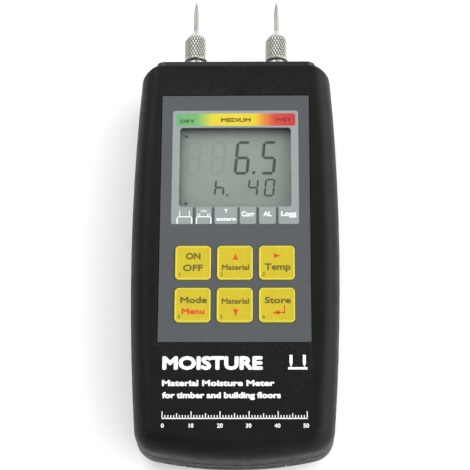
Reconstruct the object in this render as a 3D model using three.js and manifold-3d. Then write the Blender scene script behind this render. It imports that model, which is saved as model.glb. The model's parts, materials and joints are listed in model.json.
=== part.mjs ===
// Pin-type moisture meter, lying on its back: +X right, +Y toward the needles, +Z out of the display.
// The origin is the middle of the bottom of the whole instrument's box, needles included. Millimetres.
import * as THREE from 'three';
import { mergeVertices } from 'three/addons/utils/BufferGeometryUtils.js';
import Module from 'manifold-3d';

const wasm = await Module();
wasm.setup();

// ---------------------------------------------------------------- driving dimensions
// Case
const SHELL_LENGTH = 140.6;
const CASE_WIDTH = 71.4;          // at the waist of the bowed flanks
const CASE_DEPTH = 26;
const PARTING_Z = 13;             // height of the joint between the two shells
const WALL = 2;
const WAIST_FROM_TOP = 66.3;
const FLANK_BOW_RADIUS = 830;
const BOTTOM_BOW_RADIUS = 125;
const TOP_CORNER = 4.5;
const BOTTOM_CORNER = 8;
const TIGHTEST_CORNER = 1.2;
const FRONT_ROUND_WIDTH = 6.8;    // the front flank is a quarter ellipse
const FRONT_ROUND_DEPTH = 8;
const FRONT_TOP_EDGE = 0.8;
const REAR_ROUND = 6;
const REAR_TOP_EDGE = 1.5;
const PARTING_CHAMFER = 0.35;
const GASKET_FROM_RIM = 0.65;
const GASKET_WIDTH = 0.7;
const GASKET_DEPTH = 1;

// Keypad and display, placed from the top end of the shells
const OVERLAY_WIDTH = 51.2;
const OVERLAY_LENGTH = 89.8;
const OVERLAY_FROM_TOP = 12.1;
const OVERLAY_CORNER = 0.4;
const OVERLAY_THICK = 1.3;
const OVERLAY_BELOW_FACE = 0.2;
const CIRCUIT_THICK = 0.3;
const DECK_THICK = 1.8;           // front wall under the keypad
const WINDOW_WIDTH = 38.5;
const WINDOW_LENGTH = 29.5;
const WINDOW_FROM_TOP = 24.3;
const WINDOW_CORNER = 1.2;
const LENS_THICK = 1.2;
const LENS_MARGIN = 2.2;
const SIGHT_MARGIN = 0.6;         // opening in the deck beyond the window
const KEY_SIZE = 12.1;
const KEY_CORNER = 1.5;
const KEY_THICK = 1;
const KEY_GAP_X = 2.03;
const KEY_GAP_Y = 2.87;
const KEY_ROW_FROM_TOP = 74.1;    // middle of the upper row
const KEY_PROUD = 0.4;            // above the overlay
const DOME_RADIUS = 4;
const DOME_HEIGHT = 0.35;
const CIRCUIT_MARGIN = 2;         // round the block of keys
const TAIL_HALF_WIDTH = 5;        // flexible tail of the keypad circuit
const TAIL_FROM_KEYS = 5.2;
const CONNECTOR_HALF_LENGTH = 1.8;
const CONNECTOR_HEIGHT = 2.4;
const CONNECTOR_END = 1.5;
const CONNECTOR_FLOOR = 1;

// Display module
const GLASS_MARGIN = 3.85;         // round the window
const GLASS_THICK = 2.6;
const FRAME_WALL = 1.7;
const STRIP_WIDTH = 2;
const STRIP_LENGTH = 40;

// Main board
const BOARD_THICK = 1.6;
const BOARD_TO_GLASS = 2.6;
const BOARD_SIDE_ROOM = 4.2;
const BOARD_FROM_TOP = 9.5;
const BOARD_LENGTH = 66.8;
const BOARD_SCREW_RADIUS = 1.05;
const BOARD_SCREW_INSET = 6;
const BOARD_SCREW_HEAD = 2;
const BOARD_SCREW_HEAD_THICK = 1.2;
const BOARD_SCREW_END = 1.6;      // below the deck
const POST_WALL = 1.5;
const BOARD_HOLE_EASE = 0.2;

// Case screws
const SCREW_RADIUS = 1.3;
const SCREW_HEAD_RADIUS = 2.75;
const SCREW_HEAD_THICK = 2;
const SCREW_SEAT_Z = 6;
const SCREW_FROM_SIDE = 12.2;
const SCREW_FROM_TOP = 8;
const SCREW_FROM_BOTTOM = 11;
const SCREW_END = 3;              // below the deck
const BOSS_WALL = 2.4;
const SCREW_HOLE_EASE = 0.4;
const COUNTERBORE_EASE = 0.35;
const COUNTERBORE_WALL = 1.2;
const CROSS_SLOT_HALF_LENGTH = 1.7;
const CROSS_SLOT_HALF_WIDTH = 0.35;
const CROSS_SLOT_DEPTH = 1;

// Electrodes
const PLATE_PROUD = 1.6;
const PLATE_FROM_SIDE = 7.7;
const PLATE_REAR_Z = 4;
const PLATE_FRONT_DROP = 1;
const PLATE_CORNER = 3;
const SPIGOT_DEPTH = 3.5;
const SPIGOT_MARGIN = 2.2;
const NEEDLE_SPACING = 28.9;
const NEEDLE_BELOW_FACE = 8;
const NEEDLE_RADIUS = 0.87;
const NEEDLE_SHOWING = 11.9;
const NEEDLE_TAPER = 4.5;
const NEEDLE_HEAD_THICK = 1.4;
const COLLAR_STEP = 0.9;          // collar's radius over the stud's
const COLLAR_HEIGHT = 2.6;
const COLLAR_TO_NUT = 0.45;
const STUD_RADIUS = 2.5;
const STUD_LENGTH = 6;
const NUT_WALL = 1.55;
const NUT_LENGTH = 8.1;
const NUT_CONE = 4;
const NUT_TIP_WALL = 0.28;
const BUSH_WALL = 1.1;
const BUSH_FLANGE_STEP = 0.6;
const BUSH_FLANGE_THICK = 1.5;
const INNER_NUT_WALL = 1.5;       // at the corners
const INNER_NUT_THICK = 2.2;
const SOLDER_PIN_RADIUS = 0.75;
const SOLDER_PIN_LAP = 1;         // over the board's end
const STUD_TAIL = 0.3;            // stud beyond its inner nut
const COLLAR_FOOT_THICK = 0.5;
const COLLAR_EDGE = 0.3;
const NUT_EDGE = 0.3;
const NEEDLE_HEAD_STEP = 0.4;     // stud's radius over the needle head's

// Sockets on the top plate behind the electrodes
const JACK_RADIUS = 2.9;
const JACK_BORE = 1.8;
const JACK_FLANGE = 3.8;
const JACK_BODY_HALF = 4;
const JACK_END_WALL = 1.5;
const PROBE_WIDTH = 12;
const PROBE_ABOVE_EDGE = 0.2;     // its body above the lower edge of the plate's spigot
const REAR_SOCKET_GAP = 0.1;      // between its flange and the electrode's
const PROBE_LIP = 0.6;
const PROBE_SLOT_X = 3.1;
const PROBE_SLOT_HALF_WIDTH = 1.6;
const PROBE_SLOT_HALF_HEIGHT = 0.5;
const PROBE_END_WALL = 2;
const REAR_SOCKET_X = 12.5;
const SOCKET_BODY_DEPTH = 9;
const SOCKET_LIP = 0.7;

// Battery compartment
const BATTERY_WIDTH = 26.5;
const BATTERY_THICK = 17.5;
const BATTERY_LENGTH = 46;
const BATTERY_FROM_BOTTOM = 6;
const TERMINAL_SPACING = 12.7;
const TERMINAL_HEIGHT = 2.5;
const SMALL_TERMINAL_RADIUS = 2.9;
const LARGE_TERMINAL_RADIUS = 4.2; // hexagonal, at its corners
const TERMINAL_EASE = 0.2;
const SNAP_THICK = 4.7;
const SNAP_HALF_WIDTH = 12.5;
const SNAP_HALF_DEPTH = 6;
const LEAD_RADIUS = 0.7;
const LEAD_LANDING = 4;           // from the board's lower end
const PAD_THICK = 1.4;            // foam between the battery and the deck
const PAD_HALF_WIDTH = 11;
const PAD_FROM_END = 6.5;
const COVER_SIDE_ROOM = 3.75;     // cover beyond the battery on each side
const COVER_LENGTH = 60;
const COVER_END_HEIGHT = 8;
const TONGUE_LENGTH = 3;
const TONGUE_HALF_WIDTH = 8;
const TONGUE_ROOT = 4;
const RIB_THICK = 1.5;
const RIB_FROM_END = 9;           // of the battery
const RIB_TO_BATTERY = 0.4;
const RIB_FOOT_Z = 3.4;
const RIB_BELOW_RIM = 1;
const GRIP_GROOVES = 6;           // thumb grip across the cover
const GRIP_PITCH = 2.4;
const GRIP_DEPTH = 0.7;
const GRIP_HALF_WIDTH = 9;
const GRIP_FROM_TOP = 8;

// Fold-out stand
const STAND_HALF_WIDTH = 16;
const STAND_LENGTH = 50;          // from the hinge axis to the free end
const STAND_THICK = 3;
const STAND_BELOW_FACE = 0.25;
const STAND_FROM_TOP = 16;        // hinge axis
const STAND_CORNER = 5;
const HANG_HOLE_RADIUS = 3.2;
const PIN_RADIUS = 0.7;
const PIN_ANCHOR = 3;
const PIN_END_WALL = 1.2;
const HANG_HOLE_FROM_END = 9;
const FINGER_SCOOP_RADIUS = 8;
const RECESS_FLOOR = 1.6;
const RECESS_SIDE_ROOM = 0.4;
const RECESS_END_ROOM = 0.6;

// Clearances
const RUNNING = 0.06;             // radial, shaft in its hole
const SNUG = 0.05;
const SLIP = 0.15;                // round a key, and under the stand
const EASE = 0.25;                // round an inset piece
const OVERCUT = 1;                // how far a cutting tool runs past a face
const LAP = 0.5;                  // how far two solids joined into one run into each other

// ---------------------------------------------------------------- places worked out from them
const HALF_WIDTH = CASE_WIDTH / 2;
const PLATE_HALF_WIDTH = HALF_WIDTH - PLATE_FROM_SIDE;
const NUT_STACK = COLLAR_HEIGHT + COLLAR_TO_NUT + NUT_LENGTH + NUT_CONE;
const TOTAL_LENGTH = SHELL_LENGTH + PLATE_PROUD + NUT_STACK + NEEDLE_SHOWING;
const BOTTOM_Y = -TOTAL_LENGTH / 2;
const SHELL_TOP = BOTTOM_Y + SHELL_LENGTH;
const PLATE_TOP = SHELL_TOP + PLATE_PROUD;
const WAIST_Y = SHELL_TOP - WAIST_FROM_TOP;

const OVERLAY_TOP_Z = CASE_DEPTH - OVERLAY_BELOW_FACE;
const OVERLAY_REAR_Z = OVERLAY_TOP_Z - OVERLAY_THICK;
const FLOOR_Z = OVERLAY_REAR_Z - CIRCUIT_THICK;
const DECK_Z = FLOOR_Z - DECK_THICK;
const GLASS_REAR_Z = DECK_Z - GLASS_THICK;
const BOARD_FRONT_Z = GLASS_REAR_Z - BOARD_TO_GLASS;
const BOARD_REAR_Z = BOARD_FRONT_Z - BOARD_THICK;

const KEY_PITCH_X = KEY_SIZE + KEY_GAP_X;
const KEY_PITCH_Y = KEY_SIZE + KEY_GAP_Y;
const GLASS_WIDTH = WINDOW_WIDTH + 2 * GLASS_MARGIN;
const GLASS_LENGTH = WINDOW_LENGTH + 2 * GLASS_MARGIN;
const BOARD_WIDTH = CASE_WIDTH - 2 * (WALL + BOARD_SIDE_ROOM);
const OVERLAY_MID_Y = SHELL_TOP - OVERLAY_FROM_TOP - OVERLAY_LENGTH / 2;
const WINDOW_MID_Y = SHELL_TOP - WINDOW_FROM_TOP - WINDOW_LENGTH / 2;
const KEY_ROW_Y = SHELL_TOP - KEY_ROW_FROM_TOP;
const BOARD_TOP_Y = SHELL_TOP - BOARD_FROM_TOP;
const BOARD_LOW_Y = BOARD_TOP_Y - BOARD_LENGTH;
const TAIL_Y = KEY_ROW_Y + KEY_SIZE / 2 + TAIL_FROM_KEYS;

const NEEDLE_X = NEEDLE_SPACING / 2;
const NEEDLE_HEAD_RADIUS = STUD_RADIUS - NEEDLE_HEAD_STEP;
const COLLAR_RADIUS = STUD_RADIUS + COLLAR_STEP;
const COLLAR_FOOT_RADIUS = COLLAR_RADIUS + BUSH_WALL;
const NUT_RADIUS = STUD_RADIUS + NUT_WALL;
const BUSH_FLANGE_RADIUS = STUD_RADIUS + BUSH_WALL + BUSH_FLANGE_STEP;
const NEEDLE_Z = CASE_DEPTH - NEEDLE_BELOW_FACE;
const COLLAR_TOP = PLATE_TOP + COLLAR_HEIGHT;
const STUD_TOP = COLLAR_TOP + STUD_LENGTH;
const NUT_RIM = COLLAR_TOP + COLLAR_TO_NUT;
const NUT_SHOULDER = NUT_RIM + NUT_LENGTH;
const NUT_TIP = NUT_SHOULDER + NUT_CONE;
const NEEDLE_TIP = NUT_TIP + NEEDLE_SHOWING;
const SPIGOT_Y = SHELL_TOP - SPIGOT_DEPTH;
const BUSH_REAR_Y = SPIGOT_Y - BUSH_FLANGE_THICK;
const STUD_REAR_Y = BUSH_REAR_Y - INNER_NUT_THICK - STUD_TAIL;
const REAR_SOCKET_Z = NEEDLE_Z - COLLAR_FOOT_RADIUS - JACK_FLANGE - REAR_SOCKET_GAP;
const PROBE_HEIGHT = 2 * (REAR_SOCKET_Z - PLATE_REAR_Z - SPIGOT_MARGIN - PROBE_ABOVE_EDGE);

const STAND_AXIS_Y = SHELL_TOP - STAND_FROM_TOP;
const STAND_AXIS_Z = STAND_BELOW_FACE + STAND_THICK / 2;
const RECESS_Z = STAND_BELOW_FACE + STAND_THICK + SLIP;
const RECESS_HALF_WIDTH = STAND_HALF_WIDTH + RECESS_SIDE_ROOM;
const RECESS_LOW_Y = STAND_AXIS_Y - STAND_LENGTH - RECESS_END_ROOM;

const COVER_HALF_WIDTH = BATTERY_WIDTH / 2 + COVER_SIDE_ROOM;
const COVER_TOP_Y = BOTTOM_Y + COVER_LENGTH;
const BATTERY_TOP_Z = DECK_Z - PAD_THICK;
const BATTERY_REAR_Z = BATTERY_TOP_Z - BATTERY_THICK;
const BATTERY_LOW_Y = BOTTOM_Y + BATTERY_FROM_BOTTOM;
const BATTERY_TOP_Y = BATTERY_LOW_Y + BATTERY_LENGTH;
const BATTERY_MID_Z = (BATTERY_TOP_Z + BATTERY_REAR_Z) / 2;


// The four corners of a rectangle centred on the Y axis.
function corners(halfWidth, highY, lowY) {
  return [[-halfWidth, highY], [halfWidth, highY], [-halfWidth, lowY], [halfWidth, lowY]];
}

const SCREW_PLACES = corners(
  HALF_WIDTH - SCREW_FROM_SIDE, SHELL_TOP - SCREW_FROM_TOP, BOTTOM_Y + SCREW_FROM_BOTTOM,
);
const BOARD_SCREW_PLACES = corners(
  BOARD_WIDTH / 2 - BOARD_SCREW_INSET, BOARD_TOP_Y - BOARD_SCREW_INSET, BOARD_LOW_Y + BOARD_SCREW_INSET,
);
const KEYS = ['power', 'up', 'right', 'menu', 'down', 'store'].map((name, index) => ({
  name,
  x: (index % 3 - 1) * KEY_PITCH_X,
  y: KEY_ROW_Y - Math.floor(index / 3) * KEY_PITCH_Y,
}));
const SIDES = [['left', -NEEDLE_X], ['right', NEEDLE_X]];

// ---------------------------------------------------------------- solids
function solid(geometry) {
  const bare = geometry.clone();
  bare.deleteAttribute('normal');
  if (bare.attributes.uv) bare.deleteAttribute('uv');
  const merged = mergeVertices(bare, 1e-5);
  const vertProperties = new Float32Array(merged.attributes.position.array);
  const triVerts = new Uint32Array(merged.index.array);
  return new wasm.Manifold(new wasm.Mesh({ numProp: 3, vertProperties, triVerts }));
}

function join(...pieces) {
  return pieces.reduce((whole, piece) => whole.add(piece));
}

function cut(body, ...tools) {
  return tools.reduce((rest, tool) => rest.subtract(tool), body);
}

function toGeometry(manifold) {
  const mesh = manifold.getMesh();
  const geometry = new THREE.BufferGeometry();
  geometry.setAttribute('position', new THREE.BufferAttribute(new Float32Array(mesh.vertProperties), 3));
  geometry.setIndex(new THREE.BufferAttribute(new Uint32Array(mesh.triVerts), 1));
  geometry.computeVertexNormals();
  return geometry;
}

function block(x0, x1, y0, y1, z0, z1) {
  const geometry = new THREE.BoxGeometry(x1 - x0, y1 - y0, z1 - z0);
  geometry.translate((x0 + x1) / 2, (y0 + y1) / 2, (z0 + z1) / 2);
  return solid(geometry);
}

// A cylinder along Z, Y or X; radius is that of its corners.
function rodZ(x, y, z0, z1, radius, sides = 24) {
  const geometry = new THREE.CylinderGeometry(radius, radius, z1 - z0, sides);
  geometry.rotateX(Math.PI / 2);
  geometry.translate(x, y, (z0 + z1) / 2);
  return solid(geometry);
}

function rodY(x, z, y0, y1, radius, sides = 24) {
  const geometry = new THREE.CylinderGeometry(radius, radius, y1 - y0, sides);
  geometry.translate(x, (y0 + y1) / 2, z);
  return solid(geometry);
}

function rodX(y, z, x0, x1, radius, sides = 24) {
  const geometry = new THREE.CylinderGeometry(radius, radius, x1 - x0, sides);
  geometry.rotateZ(Math.PI / 2);
  geometry.translate((x0 + x1) / 2, y, z);
  return solid(geometry);
}

// Corner radius of a polygon hole whose flats keep a clearance to a round shaft.
function holeRadius(shaft, clearance, sides = 24) {
  return (shaft + clearance) / Math.cos(Math.PI / sides);
}

// A solid of revolution about the line along Y through (x, z); points are [radius, y].
function turnedY(x, z, points, sides = 24) {
  const profile = points.map(([radius, y]) => new THREE.Vector2(radius, y));
  const geometry = new THREE.LatheGeometry(profile, sides);
  geometry.translate(x, 0, z);
  return solid(geometry);
}

function roundedRectangle(x0, x1, y0, y1, radius) {
  const shape = new THREE.Shape();
  shape.moveTo(x0 + radius, y0);
  shape.lineTo(x1 - radius, y0);
  shape.absarc(x1 - radius, y0 + radius, radius, -Math.PI / 2, 0, false);
  shape.lineTo(x1, y1 - radius);
  shape.absarc(x1 - radius, y1 - radius, radius, 0, Math.PI / 2, false);
  shape.lineTo(x0 + radius, y1);
  shape.absarc(x0 + radius, y1 - radius, radius, Math.PI / 2, Math.PI, false);
  shape.lineTo(x0, y0 + radius);
  shape.absarc(x0 + radius, y0 + radius, radius, Math.PI, Math.PI * 1.5, false);
  return shape;
}

function slab(x0, x1, y0, y1, z0, z1, radius, curveSegments = 4) {
  const shape = roundedRectangle(x0, x1, y0, y1, radius);
  const geometry = new THREE.ExtrudeGeometry(shape, { depth: z1 - z0, bevelEnabled: false, curveSegments });
  geometry.translate(0, 0, z0);
  return solid(geometry);
}

// ---------------------------------------------------------------- the case's bowed outline
// Where two circles meet, on the side of larger x.
function meeting(ax, ay, ar, bx, by, br) {
  const dx = bx - ax;
  const dy = by - ay;
  const distance = Math.hypot(dx, dy);
  const along = (ar * ar - br * br + distance * distance) / (2 * distance);
  const across = Math.sqrt(ar * ar - along * along);
  const first = [ax + (dx * along + dy * across) / distance, ay + (dy * along - dx * across) / distance];
  const second = [ax + (dx * along - dy * across) / distance, ay + (dy * along + dx * across) / distance];
  return first[0] > second[0] ? first : second;
}

// Half outline, from the middle of the bottom round the right side to the middle of the top.
function halfOutline(sideInset, topInset, bottomInset) {
  const points = [];
  const arc = (cx, cy, radius, from, to, steps, skipFirst) => {
    for (let i = skipFirst ? 1 : 0; i <= steps; i++) {
      const angle = from + (to - from) * i / steps;
      points.push([cx + radius * Math.cos(angle), cy + radius * Math.sin(angle)]);
    }
  };
  const flankX = HALF_WIDTH - FLANK_BOW_RADIUS;
  const flankR = FLANK_BOW_RADIUS - sideInset;
  const bottomCentreY = BOTTOM_Y + BOTTOM_BOW_RADIUS;
  const bottomR = BOTTOM_BOW_RADIUS - bottomInset;

  const low = Math.max(TIGHTEST_CORNER, BOTTOM_CORNER - (sideInset + bottomInset) / 2);
  const [lowX, lowY] = meeting(flankX, WAIST_Y, flankR - low, 0, bottomCentreY, bottomR - low);
  const lowStart = Math.atan2(lowY - bottomCentreY, lowX);
  const lowEnd = Math.atan2(lowY - WAIST_Y, lowX - flankX);

  const high = Math.max(TIGHTEST_CORNER, TOP_CORNER - (sideInset + topInset) / 2);
  const highY = SHELL_TOP - topInset - high;
  const highX = flankX + Math.sqrt((flankR - high) ** 2 - (highY - WAIST_Y) ** 2);
  const highStart = Math.atan2(highY - WAIST_Y, highX - flankX);

  arc(0, bottomCentreY, bottomR, -Math.PI / 2, lowStart, 6, false);
  arc(lowX, lowY, low, lowStart, lowEnd, 6, true);
  arc(flankX, WAIST_Y, flankR, lowEnd, highStart, 10, true);
  arc(highX, highY, high, highStart, Math.PI / 2, 5, true);
  points.push([0, SHELL_TOP - topInset]);
  return points;
}

function outline(sideInset, topInset, bottomInset) {
  const right = halfOutline(sideInset, topInset, bottomInset);
  const left = right.slice(1, -1).reverse().map(([x, y]) => [-x, y]);
  return right.concat(left);
}

// Stacks outlines of equal point count into one closed solid; each layer is {z, side, top, bottom}.
function loft(layers) {
  const rings = layers.map(({ z, side, top, bottom }) =>
    outline(side, top, bottom).map(([x, y]) => [x, y, z]));
  const count = rings[0].length;
  const middleY = (BOTTOM_Y + SHELL_TOP) / 2;
  const positions = rings.flat(2);
  positions.push(0, middleY, layers[0].z, 0, middleY, layers[layers.length - 1].z);
  const floor = rings.length * count;
  const roof = floor + 1;
  const lastRing = (rings.length - 1) * count;
  const index = [];
  for (let i = 0; i < count; i++) {
    const next = (i + 1) % count;
    index.push(floor, next, i);
    index.push(roof, lastRing + i, lastRing + next);
    for (let ring = 0; ring < rings.length - 1; ring++) {
      const a = ring * count;
      const b = a + count;
      index.push(a + i, a + next, b + next);
      index.push(a + i, b + next, b + i);
    }
  }
  const geometry = new THREE.BufferGeometry();
  geometry.setAttribute('position', new THREE.BufferAttribute(new Float32Array(positions), 3));
  geometry.setIndex(index);
  return solid(geometry);
}

// How far a rounded edge stands back at a depth below its face.
function setBack(depth, width, reach) {
  const rest = Math.max(0, 1 - depth / reach);
  return width * (1 - Math.sqrt(1 - rest * rest));
}

const FINE_STEPS = [0, 0.015, 0.06, 0.14, 0.26, 0.45, 0.7, 1];
const COARSE_STEPS = [0, 0.1, 0.4, 1];

function rearLayers(inset, floorZ, steps) {
  return steps.map((share) => {
    const depth = share * REAR_ROUND;
    return {
      z: floorZ + depth,
      side: inset + setBack(depth, REAR_ROUND, REAR_ROUND),
      top: inset + setBack(depth, REAR_TOP_EDGE, REAR_TOP_EDGE),
      bottom: inset + setBack(depth, REAR_ROUND, REAR_ROUND),
    };
  });
}

function frontLayers(inset, roofZ, steps) {
  return steps.map((share) => {
    const depth = share * FRONT_ROUND_DEPTH;
    return {
      z: roofZ - depth,
      side: inset + setBack(depth, FRONT_ROUND_WIDTH, FRONT_ROUND_DEPTH),
      top: inset + setBack(depth, FRONT_TOP_EDGE, FRONT_TOP_EDGE),
      bottom: inset + setBack(depth, REAR_ROUND, REAR_ROUND),
    };
  }).reverse();
}

function level(z, inset) {
  return { z, side: inset, top: inset, bottom: inset };
}

function rearBody() {
  const rim = [level(PARTING_Z - PARTING_CHAMFER, 0), level(PARTING_Z, PARTING_CHAMFER)];
  return loft([...rearLayers(0, 0, FINE_STEPS), ...rim]);
}

function frontBody() {
  const rim = [level(PARTING_Z, PARTING_CHAMFER), level(PARTING_Z + PARTING_CHAMFER, 0)];
  return loft([...rim, ...frontLayers(0, CASE_DEPTH, FINE_STEPS)]);
}

function rearCavity() {
  return loft([...rearLayers(WALL, WALL, COARSE_STEPS), level(PARTING_Z + OVERCUT, WALL)]);
}

function frontCavity() {
  return loft([level(PARTING_Z - OVERCUT, WALL), ...frontLayers(WALL, DECK_Z, COARSE_STEPS)]);
}

// The opening in the top end that the plate's spigot fills, with the margin it leaves all round.
function spigotBlock(ease, y0, y1) {
  const half = PLATE_HALF_WIDTH - SPIGOT_MARGIN + ease;
  const low = PLATE_REAR_Z + SPIGOT_MARGIN - ease;
  const high = CASE_DEPTH - PLATE_FRONT_DROP - SPIGOT_MARGIN + ease;
  return block(-half, half, y0, y1, low, high);
}

// ---------------------------------------------------------------- case pieces
function frontShell() {
  const recess = slab(
    -OVERLAY_WIDTH / 2 - EASE, OVERLAY_WIDTH / 2 + EASE,
    OVERLAY_MID_Y - OVERLAY_LENGTH / 2 - EASE, OVERLAY_MID_Y + OVERLAY_LENGTH / 2 + EASE,
    FLOOR_Z, CASE_DEPTH + OVERCUT, OVERLAY_CORNER + EASE,
  );
  const lensSeat = lensSlab(EASE, OVERLAY_REAR_Z - LENS_THICK, CASE_DEPTH);
  const sightX = WINDOW_WIDTH / 2 + SIGHT_MARGIN;
  const sightY = WINDOW_LENGTH / 2 + SIGHT_MARGIN;
  const sight = slab(
    -sightX, sightX, WINDOW_MID_Y - sightY, WINDOW_MID_Y + sightY,
    DECK_Z - OVERCUT, CASE_DEPTH, WINDOW_CORNER,
  );
  const tailSlot = block(
    -TAIL_HALF_WIDTH - EASE, TAIL_HALF_WIDTH + EASE,
    TAIL_Y - CIRCUIT_THICK / 2 - EASE, TAIL_Y + CIRCUIT_THICK / 2 + EASE,
    DECK_Z - OVERCUT, FLOOR_Z + OVERCUT,
  );
  const overlayTop = OVERLAY_MID_Y + OVERLAY_LENGTH / 2;
  const reliefHalf = PLATE_HALF_WIDTH - SPIGOT_MARGIN + EASE;
  const nutRelief = block(
    -reliefHalf, reliefHalf, overlayTop + WALL, SHELL_TOP - WALL, DECK_Z - OVERCUT, CASE_DEPTH - WALL,
  );
  const bosses = SCREW_PLACES.map(([x, y]) => rodZ(x, y, PARTING_Z, DECK_Z + LAP, SCREW_RADIUS + BOSS_WALL));
  const posts = BOARD_SCREW_PLACES.map(([x, y]) =>
    rodZ(x, y, BOARD_FRONT_Z, DECK_Z + LAP, BOARD_SCREW_RADIUS + POST_WALL, 12));
  const pilot = holeRadius(SCREW_RADIUS, SNUG, 12);
  const smallPilot = holeRadius(BOARD_SCREW_RADIUS, SNUG, 12);
  const pilots = SCREW_PLACES.map(([x, y]) =>
    rodZ(x, y, PARTING_Z - OVERCUT, DECK_Z - SCREW_END + OVERCUT, pilot, 12));
  const smallPilots = BOARD_SCREW_PLACES.map(([x, y]) =>
    rodZ(x, y, BOARD_FRONT_Z - OVERCUT, DECK_Z - BOARD_SCREW_END / 2, smallPilot, 12));
  const hollow = cut(join(frontCavity(), nutRelief), ...bosses, ...posts);
  return cut(
    frontBody(), hollow, recess, lensSeat, sight, tailSlot,
    spigotBlock(EASE, SHELL_TOP - WALL - OVERCUT, SHELL_TOP + OVERCUT), ...pilots, ...smallPilots,
  );
}

function lensSlab(ease, z0, z1) {
  const halfX = WINDOW_WIDTH / 2 + LENS_MARGIN + ease;
  const halfY = WINDOW_LENGTH / 2 + LENS_MARGIN + ease;
  return slab(-halfX, halfX, WINDOW_MID_Y - halfY, WINDOW_MID_Y + halfY, z0, z1, WINDOW_CORNER + ease);
}

// The part of the rear wall that leaves with the battery cover.
function coverBlock(ease) {
  return block(
    -COVER_HALF_WIDTH - ease, COVER_HALF_WIDTH + ease, BOTTOM_Y - OVERCUT, COVER_TOP_Y + ease,
    -OVERCUT, COVER_END_HEIGHT + ease,
  );
}

function batteryRibs() {
  const ribs = [];
  const reach = BATTERY_WIDTH / 2 + RIB_TO_BATTERY;
  const foot = COVER_HALF_WIDTH + EASE;
  for (const y of [BATTERY_LOW_Y + RIB_FROM_END, BATTERY_TOP_Y - RIB_FROM_END]) {
    for (const side of [-1, 1]) {
      const low = Math.min(side * foot, side * HALF_WIDTH);
      const high = Math.max(side * foot, side * HALF_WIDTH);
      const near = Math.min(side * reach, side * HALF_WIDTH);
      const far = Math.max(side * reach, side * HALF_WIDTH);
      const rib = (x0, x1, z0) =>
        block(x0, x1, y - RIB_THICK / 2, y + RIB_THICK / 2, z0, PARTING_Z - RIB_BELOW_RIM);
      ribs.push(rib(low, high, 0), rib(near, far, RIB_FOOT_Z));
    }
  }
  return ribs;
}

function rearShell() {
  const blockTop = RECESS_Z + RECESS_FLOOR;
  const pinEnd = RECESS_HALF_WIDTH + PIN_ANCHOR;
  const backing = block(
    -pinEnd - PIN_END_WALL, pinEnd + PIN_END_WALL, RECESS_LOW_Y - RECESS_FLOOR, SHELL_TOP, 0, blockTop,
  );
  const scoopY = STAND_AXIS_Y - STAND_LENGTH;
  const scoopWall = rodZ(0, scoopY, 0, blockTop, FINGER_SCOOP_RADIUS + RECESS_FLOOR);
  const recess = block(
    -RECESS_HALF_WIDTH, RECESS_HALF_WIDTH, RECESS_LOW_Y, SHELL_TOP + OVERCUT, -OVERCUT, RECESS_Z,
  );
  const scoop = rodZ(0, scoopY, -OVERCUT, RECESS_Z, FINGER_SCOOP_RADIUS);
  const pinHole = rodX(STAND_AXIS_Y, STAND_AXIS_Z, -pinEnd, pinEnd, holeRadius(PIN_RADIUS, SNUG, 16), 16);
  const headBore = SCREW_HEAD_RADIUS + COUNTERBORE_EASE;
  const bosses = SCREW_PLACES.map(([x, y]) => rodZ(x, y, 0, PARTING_Z, headBore + COUNTERBORE_WALL, 16));
  const hollow = cut(rearCavity(), backing, scoopWall, ...bosses, ...batteryRibs());
  const bores = SCREW_PLACES.flatMap(([x, y]) => [
    rodZ(x, y, SCREW_SEAT_Z - OVERCUT, PARTING_Z + OVERCUT, SCREW_RADIUS + SCREW_HOLE_EASE, 12),
    rodZ(x, y, -OVERCUT, SCREW_SEAT_Z, headBore),
  ]);
  return cut(
    rearBody(), hollow, recess, scoop, pinHole, coverBlock(EASE), gasketRing(SNUG, OVERCUT),
    spigotBlock(EASE, SHELL_TOP - WALL - OVERCUT, SHELL_TOP + OVERCUT), ...bores,
  );
}

// A ring in the rear shell's rim, open where the top plate's spigot closes the case.
function gasketRing(ease, above) {
  const outer = GASKET_FROM_RIM - ease;
  const inner = GASKET_FROM_RIM + GASKET_WIDTH + ease;
  const low = PARTING_Z - GASKET_DEPTH - ease;
  const ring = cut(
    loft([level(low, outer), level(PARTING_Z + above, outer)]),
    loft([level(low - OVERCUT, inner), level(PARTING_Z + above + OVERCUT, inner)]),
  );
  const half = PLATE_HALF_WIDTH - SPIGOT_MARGIN + 2 * EASE - ease;
  return cut(ring, block(-half, half, SPIGOT_Y - OVERCUT, SHELL_TOP + OVERCUT, 0, CASE_DEPTH));
}

function batteryCover() {
  const skin = cut(rearBody(), rearCavity()).intersect(coverBlock(0));
  const tongueTopZ = BATTERY_REAR_Z - SNUG; // it slides back under the battery
  const lip = (y1, z0) =>
    block(-TONGUE_HALF_WIDTH, TONGUE_HALF_WIDTH, COVER_TOP_Y - TONGUE_ROOT, y1, z0, tongueTopZ);
  const root = lip(COVER_TOP_Y - LAP, WALL - LAP);
  const tongue = lip(COVER_TOP_Y + TONGUE_LENGTH, WALL + EASE);
  const grooves = [];
  for (let i = 0; i < GRIP_GROOVES; i++) {
    const low = COVER_TOP_Y - GRIP_FROM_TOP - i * GRIP_PITCH;
    grooves.push(block(-GRIP_HALF_WIDTH, GRIP_HALF_WIDTH, low, low + GRIP_PITCH / 2, -OVERCUT, GRIP_DEPTH));
  }
  return cut(join(skin, root, tongue), ...grooves);
}

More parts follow.
